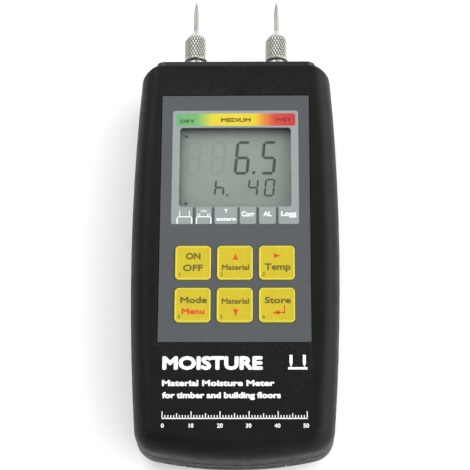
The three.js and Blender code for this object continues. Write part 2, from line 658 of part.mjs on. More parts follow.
function topPlate() {
  const plateTopZ = CASE_DEPTH - PLATE_FRONT_DROP;
  const halfX = PLATE_HALF_WIDTH;
  const shape = roundedRectangle(-halfX, halfX, -plateTopZ, -PLATE_REAR_Z, PLATE_CORNER);
  const geometry = new THREE.ExtrudeGeometry(shape, {
    depth: PLATE_PROUD, bevelEnabled: false, curveSegments: 6,
  });
  geometry.rotateX(-Math.PI / 2);
  geometry.translate(0, SHELL_TOP, 0);
  const holes = SIDES.map(([, x]) =>
    rodY(x, NEEDLE_Z, SPIGOT_Y - OVERCUT, PLATE_TOP + OVERCUT, holeRadius(STUD_RADIUS + BUSH_WALL, SNUG)));
  const jackHole = rodY(REAR_SOCKET_X, REAR_SOCKET_Z, SPIGOT_Y - OVERCUT, PLATE_TOP + OVERCUT,
    holeRadius(JACK_RADIUS, SNUG));
  const probeHole = block(
    -REAR_SOCKET_X - PROBE_WIDTH / 2 - SNUG, -REAR_SOCKET_X + PROBE_WIDTH / 2 + SNUG,
    SPIGOT_Y - OVERCUT, PLATE_TOP + OVERCUT,
    REAR_SOCKET_Z - PROBE_HEIGHT / 2 - SNUG, REAR_SOCKET_Z + PROBE_HEIGHT / 2 + SNUG,
  );
  return cut(join(solid(geometry), spigotBlock(0, SPIGOT_Y, SHELL_TOP + LAP)), ...holes, jackHole, probeHole);
}

function caseScrew([x, y]) {
  const head = rodZ(x, y, SCREW_SEAT_Z - SCREW_HEAD_THICK, SCREW_SEAT_Z, SCREW_HEAD_RADIUS);
  const shaft = rodZ(x, y, SCREW_SEAT_Z - LAP, DECK_Z - SCREW_END, SCREW_RADIUS, 12);
  const slotZ = SCREW_SEAT_Z - SCREW_HEAD_THICK;
  const slot = (halfX, halfY) =>
    block(x - halfX, x + halfX, y - halfY, y + halfY, slotZ - OVERCUT, slotZ + CROSS_SLOT_DEPTH);
  return cut(
    join(head, shaft),
    slot(CROSS_SLOT_HALF_LENGTH, CROSS_SLOT_HALF_WIDTH), slot(CROSS_SLOT_HALF_WIDTH, CROSS_SLOT_HALF_LENGTH),
  );
}

function standClip() {
  const low = STAND_AXIS_Y - STAND_LENGTH;
  const z0 = STAND_BELOW_FACE;
  const z1 = STAND_BELOW_FACE + STAND_THICK;
  const plate = slab(
    -STAND_HALF_WIDTH, STAND_HALF_WIDTH, low, STAND_AXIS_Y + 2 * STAND_CORNER, z0, z1, STAND_CORNER, 6,
  );
  const beyond = block(-CASE_WIDTH, CASE_WIDTH, STAND_AXIS_Y, SHELL_TOP, z0 - OVERCUT, z1 + OVERCUT);
  const knuckle = rodX(STAND_AXIS_Y, STAND_AXIS_Z, -STAND_HALF_WIDTH, STAND_HALF_WIDTH, STAND_THICK / 2);
  const boreRadius = holeRadius(PIN_RADIUS, RUNNING, 16);
  const bore = rodX(STAND_AXIS_Y, STAND_AXIS_Z, -CASE_WIDTH, CASE_WIDTH, boreRadius, 16);
  const hangHole = rodZ(0, low + HANG_HOLE_FROM_END, z0 - OVERCUT, z1 + OVERCUT, HANG_HOLE_RADIUS);
  return cut(join(cut(plate, beyond), knuckle), bore, hangHole);
}

function clipPin() {
  const end = RECESS_HALF_WIDTH + PIN_ANCHOR;
  return rodX(STAND_AXIS_Y, STAND_AXIS_Z, -end, end, PIN_RADIUS, 16);
}

// ---------------------------------------------------------------- keypad and display
function keypadOverlay() {
  const sheet = slab(
    -OVERLAY_WIDTH / 2, OVERLAY_WIDTH / 2,
    OVERLAY_MID_Y - OVERLAY_LENGTH / 2, OVERLAY_MID_Y + OVERLAY_LENGTH / 2,
    OVERLAY_REAR_Z, OVERLAY_TOP_Z, OVERLAY_CORNER,
  );
  const sight = slab(
    -WINDOW_WIDTH / 2, WINDOW_WIDTH / 2, WINDOW_MID_Y - WINDOW_LENGTH / 2, WINDOW_MID_Y + WINDOW_LENGTH / 2,
    OVERLAY_REAR_Z - OVERCUT, OVERLAY_TOP_Z + OVERCUT, WINDOW_CORNER,
  );
  const keyHoles = KEYS.map((key) => keySlab(key, SLIP, OVERLAY_REAR_Z - OVERCUT, OVERLAY_TOP_Z + OVERCUT));
  return cut(sheet, sight, ...keyHoles);
}

function keySlab({ x, y }, ease, z0, z1) {
  const half = KEY_SIZE / 2 + ease;
  return slab(x - half, x + half, y - half, y + half, z0, z1, KEY_CORNER + ease);
}

function keyCap(key) {
  const top = OVERLAY_TOP_Z + KEY_PROUD;
  return keySlab(key, 0, top - KEY_THICK, top);
}

function snapDome({ x, y }) {
  const profile = [[0, 0], [DOME_RADIUS, 0], [DOME_RADIUS * 0.75, DOME_HEIGHT * 0.7],
    [DOME_RADIUS * 0.4, DOME_HEIGHT], [0, DOME_HEIGHT]];
  const geometry = new THREE.LatheGeometry(profile.map(([r, h]) => new THREE.Vector2(r, h)), 16);
  geometry.rotateX(Math.PI / 2);
  geometry.translate(x, y, OVERLAY_REAR_Z);
  return solid(geometry);
}

function keypadCircuit() {
  const half = KEY_PITCH_X + KEY_SIZE / 2 + CIRCUIT_MARGIN;
  const low = KEY_ROW_Y - KEY_PITCH_Y - KEY_SIZE / 2 - CIRCUIT_MARGIN;
  const sheet = block(-half, half, low, TAIL_Y + CIRCUIT_THICK / 2, FLOOR_Z, OVERLAY_REAR_Z);
  const tail = block(
    -TAIL_HALF_WIDTH, TAIL_HALF_WIDTH, TAIL_Y - CIRCUIT_THICK / 2, TAIL_Y + CIRCUIT_THICK / 2,
    BOARD_FRONT_Z + CONNECTOR_FLOOR, OVERLAY_REAR_Z - CIRCUIT_THICK / 2,
  );
  return join(sheet, tail);
}

function keypadConnector() {
  const half = TAIL_HALF_WIDTH + CONNECTOR_END;
  const top = BOARD_FRONT_Z + CONNECTOR_HEIGHT;
  const body = block(
    -half, half, TAIL_Y - CONNECTOR_HALF_LENGTH, TAIL_Y + CONNECTOR_HALF_LENGTH, BOARD_FRONT_Z, top,
  );
  const slot = block(-TAIL_HALF_WIDTH - SNUG, TAIL_HALF_WIDTH + SNUG,
    TAIL_Y - CIRCUIT_THICK / 2 - SNUG, TAIL_Y + CIRCUIT_THICK / 2 + SNUG,
    BOARD_FRONT_Z + CONNECTOR_FLOOR, top + OVERCUT);
  return cut(body, slot);
}

function displayFrame() {
  const surround = (halfX, halfY, z0, z1) =>
    block(-halfX, halfX, WINDOW_MID_Y - halfY, WINDOW_MID_Y + halfY, z0, z1);
  const halfX = GLASS_WIDTH / 2 + SNUG;
  const halfY = GLASS_LENGTH / 2 + SNUG;
  return cut(
    surround(halfX + FRAME_WALL, halfY + FRAME_WALL, BOARD_FRONT_Z, DECK_Z),
    surround(halfX, halfY, BOARD_FRONT_Z - OVERCUT, DECK_Z + OVERCUT),
  );
}

function lcdGlass() {
  return block(-GLASS_WIDTH / 2, GLASS_WIDTH / 2,
    WINDOW_MID_Y - GLASS_LENGTH / 2, WINDOW_MID_Y + GLASS_LENGTH / 2, GLASS_REAR_Z, DECK_Z);
}

function contactStrip(side) {
  const y = WINDOW_MID_Y + side * (GLASS_LENGTH / 2 - STRIP_WIDTH);
  return block(-STRIP_LENGTH / 2, STRIP_LENGTH / 2, y - STRIP_WIDTH / 2, y + STRIP_WIDTH / 2,
    BOARD_FRONT_Z, GLASS_REAR_Z);
}

// ---------------------------------------------------------------- electronics
function mainBoard() {
  const halfX = BOARD_WIDTH / 2;
  const board = block(-halfX, halfX, BOARD_LOW_Y, BOARD_TOP_Y, BOARD_REAR_Z, BOARD_FRONT_Z);
  const bossCuts = SCREW_PLACES.slice(0, 2).map(([x, y]) =>
    rodZ(x, y, 0, CASE_DEPTH, SCREW_RADIUS + BOSS_WALL + 2 * EASE));
  const holes = BOARD_SCREW_PLACES.map(([x, y]) =>
    rodZ(x, y, 0, CASE_DEPTH, BOARD_SCREW_RADIUS + BOARD_HOLE_EASE, 12));
  return cut(board, ...bossCuts, ...holes);
}

function boardScrew([x, y]) {
  const head = rodZ(x, y, BOARD_REAR_Z - BOARD_SCREW_HEAD_THICK, BOARD_REAR_Z, BOARD_SCREW_HEAD, 12);
  const shaft = rodZ(x, y, BOARD_REAR_Z - LAP, DECK_Z - BOARD_SCREW_END, BOARD_SCREW_RADIUS, 12);
  return join(head, shaft);
}

function partOnBoard(x, fromTop, width, length, height) {
  const y = BOARD_TOP_Y - fromTop;
  const bottomZ = BOARD_REAR_Z - height;
  return block(x - width / 2, x + width / 2, y - length / 2, y + length / 2, bottomZ, BOARD_REAR_Z);
}

function canOnBoard(x, fromTop, radius, height) {
  return rodZ(x, BOARD_TOP_Y - fromTop, BOARD_REAR_Z - height, BOARD_REAR_Z, radius);
}

function interfaceJack() {
  const innerY = SPIGOT_Y - SOCKET_BODY_DEPTH;
  const barrel = rodY(REAR_SOCKET_X, REAR_SOCKET_Z, SPIGOT_Y - LAP, PLATE_TOP + LAP, JACK_RADIUS);
  const flange = rodY(REAR_SOCKET_X, REAR_SOCKET_Z, PLATE_TOP, PLATE_TOP + SOCKET_LIP, JACK_FLANGE);
  const body = block(
    REAR_SOCKET_X - JACK_BODY_HALF, REAR_SOCKET_X + JACK_BODY_HALF, innerY, SPIGOT_Y,
    REAR_SOCKET_Z - JACK_RADIUS, REAR_SOCKET_Z + JACK_RADIUS,
  );
  const bore = rodY(
    REAR_SOCKET_X, REAR_SOCKET_Z, innerY + JACK_END_WALL, PLATE_TOP + SOCKET_LIP + OVERCUT, JACK_BORE,
  );
  return cut(join(barrel, flange, body), bore);
}

function probeSocket() {
  const innerY = SPIGOT_Y - SOCKET_BODY_DEPTH;
  const x = -REAR_SOCKET_X;
  const centred = (middle, halfX, halfZ, y0, y1) =>
    block(middle - halfX, middle + halfX, y0, y1, REAR_SOCKET_Z - halfZ, REAR_SOCKET_Z + halfZ);
  const lipTop = PLATE_TOP + SOCKET_LIP;
  const body = centred(x, PROBE_WIDTH / 2, PROBE_HEIGHT / 2, innerY, PLATE_TOP + LAP);
  const lip = centred(x, PROBE_WIDTH / 2 + PROBE_LIP, PROBE_HEIGHT / 2 + PROBE_LIP, PLATE_TOP, lipTop);
  const slots = [-PROBE_SLOT_X, PROBE_SLOT_X].map((offset) => centred(
    x + offset, PROBE_SLOT_HALF_WIDTH, PROBE_SLOT_HALF_HEIGHT, innerY + PROBE_END_WALL, lipTop + OVERCUT,
  ));
  return cut(join(body, lip), ...slots);
}

// ---------------------------------------------------------------- battery
function battery() {
  const can = block(-BATTERY_WIDTH / 2, BATTERY_WIDTH / 2, BATTERY_LOW_Y, BATTERY_TOP_Y,
    BATTERY_REAR_Z, BATTERY_TOP_Z);
  const top = BATTERY_TOP_Y + TERMINAL_HEIGHT;
  const root = BATTERY_TOP_Y - OVERCUT;
  const small = rodY(-TERMINAL_SPACING / 2, BATTERY_MID_Z, root, top, SMALL_TERMINAL_RADIUS, 16);
  const large = rodY(TERMINAL_SPACING / 2, BATTERY_MID_Z, root, top, LARGE_TERMINAL_RADIUS, 6);
  return join(can, small, large);
}

function batterySnap() {
  const body = block(
    -SNAP_HALF_WIDTH, SNAP_HALF_WIDTH, BATTERY_TOP_Y, BATTERY_TOP_Y + SNAP_THICK,
    BATTERY_MID_Z - SNAP_HALF_DEPTH, BATTERY_MID_Z + SNAP_HALF_DEPTH,
  );
  const depth = BATTERY_TOP_Y + TERMINAL_HEIGHT + TERMINAL_EASE;
  const root = BATTERY_TOP_Y - OVERCUT;
  const small = rodY(-TERMINAL_SPACING / 2, BATTERY_MID_Z, root, depth, SMALL_TERMINAL_RADIUS + SLIP, 16);
  const large = rodY(TERMINAL_SPACING / 2, BATTERY_MID_Z, root, depth, LARGE_TERMINAL_RADIUS + SLIP, 6);
  return cut(body, small, large);
}

// A lead from the snap's back, in an easy bend, up into the rear of the board.
function batteryLead(side) {
  const from = BATTERY_TOP_Y + SNAP_THICK;
  const landing = BOARD_LOW_Y + LEAD_LANDING;
  const run = landing - from;
  const points = [
    [2.2, from + SNUG, BATTERY_MID_Z],
    [2.2, from + run * 0.15, BATTERY_MID_Z],
    [3.4, from + run * 0.45, BATTERY_MID_Z - 1.3],
    [6.0, from + run * 0.78, BATTERY_MID_Z - 1],
    [7.6, landing - 0.5, BATTERY_MID_Z + 0.6],
    [7.9, landing, BOARD_REAR_Z - 1],
    [7.9, landing, BOARD_REAR_Z - SNUG],
  ].map(([x, y, z]) => new THREE.Vector3(side * x, y, z));
  const route = new THREE.CatmullRomCurve3(points, false, 'centripetal');
  const section = new THREE.Shape();
  section.absarc(0, 0, LEAD_RADIUS, 0, 2 * Math.PI, false);
  const geometry = new THREE.ExtrudeGeometry(section, { steps: 16, extrudePath: route, curveSegments: 4 });
  return solid(geometry);
}

function batteryPad() {
  return block(-PAD_HALF_WIDTH, PAD_HALF_WIDTH,
    BATTERY_LOW_Y + PAD_FROM_END, BATTERY_TOP_Y - PAD_FROM_END, BATTERY_TOP_Z, DECK_Z);
}

// ---------------------------------------------------------------- electrodes
function electrodeSocket(x) {
  const pinEnd = BOARD_TOP_Y - SOLDER_PIN_LAP;
  const footTop = PLATE_TOP + COLLAR_FOOT_THICK;
  return turnedY(x, NEEDLE_Z, [
    [0, pinEnd], [SOLDER_PIN_RADIUS, pinEnd], [SOLDER_PIN_RADIUS, STUD_REAR_Y],
    [STUD_RADIUS, STUD_REAR_Y], [STUD_RADIUS, PLATE_TOP], [COLLAR_FOOT_RADIUS, PLATE_TOP],
    [COLLAR_FOOT_RADIUS, footTop], [COLLAR_RADIUS, footTop + COLLAR_EDGE],
    [COLLAR_RADIUS, COLLAR_TOP - COLLAR_EDGE], [COLLAR_RADIUS - COLLAR_EDGE, COLLAR_TOP],
    [STUD_RADIUS, COLLAR_TOP], [STUD_RADIUS, STUD_TOP], [0, STUD_TOP],
  ]);
}

function socketBush(x) {
  const outer = STUD_RADIUS + BUSH_WALL;
  const inner = holeRadius(STUD_RADIUS, SNUG);
  return turnedY(x, NEEDLE_Z, [
    [inner, BUSH_REAR_Y], [BUSH_FLANGE_RADIUS, BUSH_REAR_Y], [BUSH_FLANGE_RADIUS, SPIGOT_Y],
    [outer, SPIGOT_Y], [outer, PLATE_TOP], [inner, PLATE_TOP], [inner, BUSH_REAR_Y],
  ]);
}

function socketNut(x) {
  const low = BUSH_REAR_Y - INNER_NUT_THICK;
  const nut = rodY(x, NEEDLE_Z, low, BUSH_REAR_Y, STUD_RADIUS + INNER_NUT_WALL, 6);
  return cut(nut, rodY(x, NEEDLE_Z, low - OVERCUT, BUSH_REAR_Y + OVERCUT, holeRadius(STUD_RADIUS, SNUG)));
}

function electrodeNeedle(x) {
  return turnedY(x, NEEDLE_Z, [
    [0, STUD_TOP], [NEEDLE_HEAD_RADIUS, STUD_TOP], [NEEDLE_HEAD_RADIUS, STUD_TOP + NEEDLE_HEAD_THICK],
    [NEEDLE_RADIUS, STUD_TOP + NEEDLE_HEAD_THICK], [NEEDLE_RADIUS, NEEDLE_TIP - NEEDLE_TAPER],
    [NEEDLE_RADIUS * 0.62, NEEDLE_TIP - NEEDLE_TAPER * 0.4], [0, NEEDLE_TIP],
  ], 16);
}

function knurledNut(x) {
  const bore = holeRadius(STUD_RADIUS, RUNNING);
  const eye = holeRadius(NEEDLE_RADIUS, RUNNING);
  const boreTop = STUD_TOP + NEEDLE_HEAD_THICK + RUNNING;
  return turnedY(x, NEEDLE_Z, [
    [bore, NUT_RIM], [NUT_RADIUS - NUT_EDGE, NUT_RIM], [NUT_RADIUS, NUT_RIM + NUT_EDGE],
    [NUT_RADIUS, NUT_SHOULDER], [NEEDLE_RADIUS + NUT_TIP_WALL, NUT_TIP], [eye, NUT_TIP],
    [eye, boreTop], [bore, boreTop], [bore, NUT_RIM],
  ]);
}

// ---------------------------------------------------------------- finishes
function finish(color, roughness, metalness = 0, opacity = 1) {
  return new THREE.MeshStandardMaterial({ color, roughness, metalness, opacity, transparent: opacity < 1 });
}

const caseBlack = () => finish(0x24241f, 0.5);
const glossBlack = () => finish(0x141412, 0.3);
const nickel = () => finish(0xc8c6ba, 0.3, 1);
const steel = () => finish(0x9a9a96, 0.35, 1);
const overlayGrey = () => finish(0x5f6266, 0.55);
const keyYellow = () => finish(0xdccd2d, 0.5);
const clear = () => finish(0xffffff, 0.05, 0, 0.2);
const glassGrey = () => finish(0x9baa9e, 0.2);
const boardGreen = () => finish(0x1f5a34, 0.5);
const rubber = () => finish(0x1c1c1c, 0.9);
const foam = () => finish(0x3a3a3a, 1);
const plasticBlack = () => finish(0x101010, 0.5);
const filmGold = () => finish(0xb9873a, 0.4);

// ---------------------------------------------------------------- the assembly
const meter = new THREE.Group();
meter.name = 'moisture_meter';

function add(name, manifold, material) {
  const mesh = new THREE.Mesh(toGeometry(manifold), material);
  mesh.name = name;
  meter.add(mesh);
}

add('front_shell', frontShell(), caseBlack());
add('rear_shell', rearShell(), caseBlack());
add('case_gasket', gasketRing(0, 0), rubber());
add('top_plate', topPlate(), glossBlack());
SCREW_PLACES.forEach((place, i) => add(`case_screw_${i + 1}`, caseScrew(place), steel()));
add('battery_cover', batteryCover(), caseBlack());
add('stand_clip', standClip(), glossBlack());
add('clip_pin', clipPin(), steel());

add('keypad_overlay', keypadOverlay(), overlayGrey());
KEYS.forEach((key) => add(`key_${key.name}`, keyCap(key), keyYellow()));
KEYS.forEach((key, i) => add(`snap_dome_${i + 1}`, snapDome(key), steel()));
add('keypad_circuit', keypadCircuit(), filmGold());
add('keypad_connector', keypadConnector(), plasticBlack());
add('display_window', lensSlab(0, OVERLAY_REAR_Z - LENS_THICK, OVERLAY_REAR_Z), clear());
add('display_frame', displayFrame(), plasticBlack());
add('lcd_glass', lcdGlass(), glassGrey());
add('contact_strip_upper', contactStrip(1), rubber());
add('contact_strip_lower', contactStrip(-1), rubber());

add('main_board', mainBoard(), boardGreen());
BOARD_SCREW_PLACES.forEach((place, i) => add(`board_screw_${i + 1}`, boardScrew(place), steel()));
add('controller_chip', partOnBoard(-9, 30, 12, 12, 1.6), plasticBlack());
add('crystal', partOnBoard(6, 36, 11, 4.5, 3.6), steel());
add('buzzer', canOnBoard(14, 24, 6, 5.5), plasticBlack());
add('capacitor_1', canOnBoard(-20, 46, 3.15, 7), plasticBlack());
add('capacitor_2', canOnBoard(-12, 50, 2.5, 6), plasticBlack());
add('interface_jack', interfaceJack(), plasticBlack());
add('probe_socket', probeSocket(), plasticBlack());

add('battery_9v', battery(), finish(0x30343a, 0.4, 0.5));
add('battery_pad', batteryPad(), foam());
add('battery_snap', batterySnap(), plasticBlack());
add('battery_lead_red', batteryLead(1), finish(0xb02018, 0.5));
add('battery_lead_black', batteryLead(-1), plasticBlack());

for (const [side, x] of SIDES) {
  add(`electrode_socket_${side}`, electrodeSocket(x), nickel());
  add(`socket_bush_${side}`, socketBush(x), plasticBlack());
  add(`socket_nut_${side}`, socketNut(x), steel());
  add(`electrode_needle_${side}`, electrodeNeedle(x), steel());
  add(`knurled_nut_${side}`, knurledNut(x), nickel());
}

export default meter;
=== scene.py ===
import json
import math

import bmesh
import bpy
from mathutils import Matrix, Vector


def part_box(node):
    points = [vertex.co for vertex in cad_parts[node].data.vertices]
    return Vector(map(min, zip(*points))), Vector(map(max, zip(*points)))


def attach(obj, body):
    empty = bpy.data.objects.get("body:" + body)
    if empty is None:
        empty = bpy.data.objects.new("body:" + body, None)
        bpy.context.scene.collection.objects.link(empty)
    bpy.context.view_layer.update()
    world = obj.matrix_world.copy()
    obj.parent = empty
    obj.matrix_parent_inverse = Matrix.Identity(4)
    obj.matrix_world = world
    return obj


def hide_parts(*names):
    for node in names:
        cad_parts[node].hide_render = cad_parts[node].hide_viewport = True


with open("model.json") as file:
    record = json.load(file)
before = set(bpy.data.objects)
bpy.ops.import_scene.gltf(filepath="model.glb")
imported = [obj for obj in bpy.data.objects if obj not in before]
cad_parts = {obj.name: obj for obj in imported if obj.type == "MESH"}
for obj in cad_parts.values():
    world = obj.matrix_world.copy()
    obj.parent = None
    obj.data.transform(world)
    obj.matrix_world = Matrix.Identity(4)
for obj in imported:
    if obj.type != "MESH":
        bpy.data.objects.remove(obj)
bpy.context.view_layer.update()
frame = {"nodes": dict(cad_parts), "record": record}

MM = 0.001


# ------------------------------------------------------------------ camera
# Twenty degrees off the face, from the battery end and a little to the right.
TILT = math.radians(20.19)
TURN = math.radians(3.04)
ROLL = math.radians(-2.97)
DISTANCE = 566.7 * MM
VIEW_ANGLE = math.radians(16.02)
AIM = Vector((0.01, -8.17, 26.0)) * MM


def add_camera():
    data = bpy.data.cameras.new("camera")
    data.angle = VIEW_ANGLE
    data.clip_start = 0.01
    camera = bpy.data.objects.new("camera", data)
    bpy.context.scene.collection.objects.link(camera)
    back = Vector((
        math.sin(TILT) * math.sin(TURN), -math.sin(TILT) * math.cos(TURN), math.cos(TILT),
    ))
    camera.location = AIM + back * DISTANCE
    camera.rotation_euler = (TILT, 0, TURN)
    camera.rotation_euler.rotate_axis("Z", ROLL)
    bpy.context.scene.camera = camera


add_camera()


# ------------------------------------------------------------------ materials
class Graph:
    """A material whose look comes from noise in object space, in metres."""

    def __init__(self, name):
        self.material = bpy.data.materials.new(name)
        self.material.use_nodes = True
        self.nodes = self.material.node_tree.nodes
        self.links = self.material.node_tree.links
        self.shader = self.nodes["Principled BSDF"]
        self.coords = self.nodes.new("ShaderNodeTexCoord").outputs["Object"]

    def set(self, **values):
        for key, value in values.items():
            self.shader.inputs[key.replace("_", " ")].default_value = value

    def stretched(self, scale):
        mapping = self.nodes.new("ShaderNodeMapping")
        mapping.inputs["Scale"].default_value = scale
        self.links.new(self.coords, mapping.inputs["Vector"])
        return mapping.outputs["Vector"]

    def noise(self, scale, detail, stretch=None):
        node = self.nodes.new("ShaderNodeTexNoise")
        node.inputs["Scale"].default_value = scale
        node.inputs["Detail"].default_value = detail
        self.links.new(self.stretched(stretch) if stretch else self.coords, node.inputs["Vector"])
        return node.outputs["Fac"]

    def ramp(self, value, stops):
        node = self.nodes.new("ShaderNodeValToRGB")
        elements = node.color_ramp.elements
        while len(elements) > 1:
            elements.remove(elements[0])
        elements[0].position = stops[0][0]
        elements[0].color = (*stops[0][1], 1)
        for place, colour in stops[1:]:
            element = elements.new(place)
            element.color = (*colour, 1)
        self.links.new(value, node.inputs["Fac"])
        return node.outputs["Color"]

    def spread(self, value, low, high, start=0.3, end=0.7):
        node = self.nodes.new("ShaderNodeMapRange")
        limits = {"From Min": start, "From Max": end, "To Min": low, "To Max": high}
        for key, number in limits.items():
            node.inputs[key].default_value = number
        self.links.new(value, node.inputs["Value"])
        return node.outputs["Result"]

    def math(self, operation, a, b=None):
        node = self.nodes.new("ShaderNodeMath")
        node.operation = operation
        for socket, value in zip(node.inputs, (a, b)):
            if value is None:
                continue
            if isinstance(value, (int, float)):
                socket.default_value = value
            else:
                self.links.new(value, socket)
        return node.outputs["Value"]

    def mix(self, share, a, b):
        node = self.nodes.new("ShaderNodeMix")
        node.data_type = "RGBA"
        for key, value in ((0, share), (6, a), (7, b)):
            if isinstance(value, (tuple, list)):
                node.inputs[key].default_value = (*value, 1)
            elif isinstance(value, (int, float)):
                node.inputs[key].default_value = value
            else:
                self.links.new(value, node.inputs[key])
        return node.outputs[2]

    def feed(self, key, output):
        self.links.new(output, self.shader.inputs[key])

    def bump(self, *layers):
        """Each layer is (height output, depth in metres)."""
        normal = None
        for height, depth in layers:
            node = self.nodes.new("ShaderNodeBump")
            node.inputs["Strength"].default_value = 1.0
            node.inputs["Distance"].default_value = depth
            self.links.new(height, node.inputs["Height"])
            if normal is not None:
                self.links.new(normal, node.inputs["Normal"])
            normal = node.outputs["Normal"]
        self.feed("Normal", normal)


GLOSS_TO_COLOUR = 2.3   # how much finer gloss varies than colour
WAVE_SCALE = 90         # slow waviness of a moulded surface, per metre
WAVE_DEPTH = 0.02       # and its depth in mm
WEAR_EDGES = (0.515, 0.6)    # how pointed an edge is where it starts to be rubbed, and fully is
WEAR_PATCHES = (0.42, 0.62)  # the part of a noise that breaks the rubbing up


def scaled(colour, factor):
    return tuple(min(1.0, c * factor) for c in colour)


def moulded(name, colour, rough, specular, vary, vary_scale, grain=0.012, grain_scale=2600,
            rough_vary=0.07, wear=None):
    """Plastic, film, ink or rubber: mottled colour, uneven gloss and a moulded grain.

    grain is a depth in mm, the scales are per metre, and wear is the colour of rubbed edges.
    """
    g = Graph(name)
    patches = g.noise(vary_scale, 4)
    base = g.ramp(patches, [(0.3, scaled(colour, 1 - vary)), (0.7, scaled(colour, 1 + vary))])
    if wear:
        edge = g.nodes.new("ShaderNodeNewGeometry").outputs["Pointiness"]
        rubbed = g.math("MULTIPLY", g.spread(edge, 0, 1, *WEAR_EDGES),
                        g.spread(g.noise(900, 5), 0, 1, *WEAR_PATCHES))
        base = g.mix(rubbed, base, wear)
    g.feed("Base Color", base)
    gloss = g.noise(vary_scale * GLOSS_TO_COLOUR, 5)
    g.feed("Roughness", g.spread(gloss, rough - rough_vary, rough + rough_vary))
    g.set(Specular_IOR_Level=specular)
    g.bump((g.noise(grain_scale, 2), grain * MM), (g.noise(WAVE_SCALE, 2), WAVE_DEPTH * MM))
    return g.material


MARK_DARKENING = 0.75
MARK_DEPTH = 0.006


def metal(name, colour, rough, brush):
    """Bright metal with turning or brushing marks; brush scales the noise along x, y and z."""
    g = Graph(name)
    marks = g.noise(1500, 4, stretch=brush)
    g.feed("Base Color", g.ramp(marks, [(0.3, scaled(colour, MARK_DARKENING)), (0.65, colour)]))
    g.feed("Roughness", g.spread(marks, rough + 0.1, rough - 0.05))
    g.set(Metallic=1.0)
    g.bump((marks, MARK_DEPTH * MM), (g.noise(500, 3), 0.01 * MM))
    return g.material


def knurled_metal():
    """Nickel with painted shade in its grooves: darker, and also rougher, where the mesh's groove
    value is high.
    """
    g = Graph("nickel_knurled_groove_shade")
    groove = g.nodes.new("ShaderNodeAttribute")
    groove.attribute_name = "groove"
    depth = groove.outputs["Fac"]
    marks = g.noise(1800, 4)
    bright = g.ramp(marks, [(0.3, (0.5, 0.49, 0.45)), (0.7, (0.66, 0.65, 0.6))])
    # Painted shade: the grooves are darkened toward near black where they are cut deep.
    g.feed("Base Color", g.mix(g.spread(depth, 0, 1, 0.15, 0.9), bright, (0.13, 0.125, 0.11)))
    g.feed("Roughness", g.math("ADD", g.spread(marks, 0.34, 0.22),
                               g.math("MULTIPLY", depth, 0.2)))
    g.set(Metallic=1.0)
    g.bump((marks, 0.008 * MM))
    return g.material


def window_glass():
    """Clear acrylic that lets lamps through to the display."""
    g = Graph("clear_window")
    g.set(Base_Color=(0.97, 0.985, 0.98, 1), IOR=1.49, Transmission_Weight=1.0)
    g.feed("Roughness", g.spread(g.noise(220, 3), 0.0, 0.03))
    g.bump((g.noise(40, 1), 0.002 * MM))
    clear = g.nodes.new("ShaderNodeBsdfTransparent")
    clear.inputs["Color"].default_value = (0.95, 0.97, 0.96, 1)
    path = g.nodes.new("ShaderNodeLightPath")
    mixer = g.nodes.new("ShaderNodeMixShader")
    g.links.new(path.outputs["Is Shadow Ray"], mixer.inputs["Fac"])
    g.links.new(g.shader.outputs["BSDF"], mixer.inputs[1])
    g.links.new(clear.outputs["BSDF"], mixer.inputs[2])
    g.links.new(mixer.outputs["Shader"], g.nodes["Material Output"].inputs["Surface"])
    return g.material


def lcd_surface():
    """The display's grey-green reflector, with its fine sparkle painted into the colour as lighter
    flecks.
    """
    g = Graph("lcd_reflector")
    cloud = g.noise(60, 2)
    speckle = g.noise(6000, 1)
    base = g.ramp(cloud, [(0.3, (0.215, 0.245, 0.215)), (0.7, (0.24, 0.27, 0.237))])
    # Painted glints: fine lighter flecks in the colour; the same speckle also varies the gloss and
    # the bump.
    g.feed("Base Color", g.mix(g.spread(speckle, 0, 0.12), base, (0.3, 0.33, 0.3)))
    g.feed("Roughness", g.spread(speckle, 0.34, 0.46))
    g.set(Specular_IOR_Level=0.3)
    g.bump((speckle, 0.003 * MM))
    return g.material


def colour_bar(half_width):
    """Green through yellow to red along x, with slightly uneven borders; half_width in metres."""
    g = Graph("colour_bar")
    split = g.nodes.new("ShaderNodeSeparateXYZ")
    g.links.new(g.coords, split.inputs["Vector"])
    along = g.spread(split.outputs["X"], 0, 1, -half_width, half_width)
    print_noise = g.spread(g.noise(1500, 3), -0.006, 0.006)
    hue = g.ramp(g.math("ADD", along, print_noise), [
        (0.0, (0.13, 0.35, 0.14)), (0.17, (0.15, 0.37, 0.135)),
        (0.235, (0.30, 0.46, 0.08)), (0.30, (0.62, 0.51, 0.03)),
        (0.50, (0.68, 0.53, 0.025)), (0.665, (0.66, 0.48, 0.025)),
        (0.735, (0.62, 0.22, 0.03)), (0.82, (0.54, 0.06, 0.03)),
        (1.0, (0.47, 0.03, 0.03)),
    ])
    g.feed("Base Color", hue)
    g.feed("Roughness", g.spread(g.noise(700, 4), 0.36, 0.5))
    g.set(Specular_IOR_Level=0.3)
    g.bump((g.noise(2200, 2), 0.006 * MM))
    return g.material


def cell_foam():
    """Open-celled foam, darker in its pores as painted shade."""
    g = Graph("foam_cells")
    cells = g.nodes.new("ShaderNodeTexVoronoi")
    cells.inputs["Scale"].default_value = 1600
    g.links.new(g.coords, cells.inputs["Vector"])
    # The pores are darker than the cell walls: painted shade in the hollows.
    pore_shade, walls = (0.015, 0.015, 0.015), (0.05, 0.05, 0.05)
    g.feed("Base Color", g.ramp(cells.outputs["Distance"], [(0.0, pore_shade), (0.5, walls)]))
    g.feed("Roughness", g.spread(g.noise(900, 3), 0.85, 1.0))
    g.bump((cells.outputs["Distance"], 0.2 * MM))
    return g.material


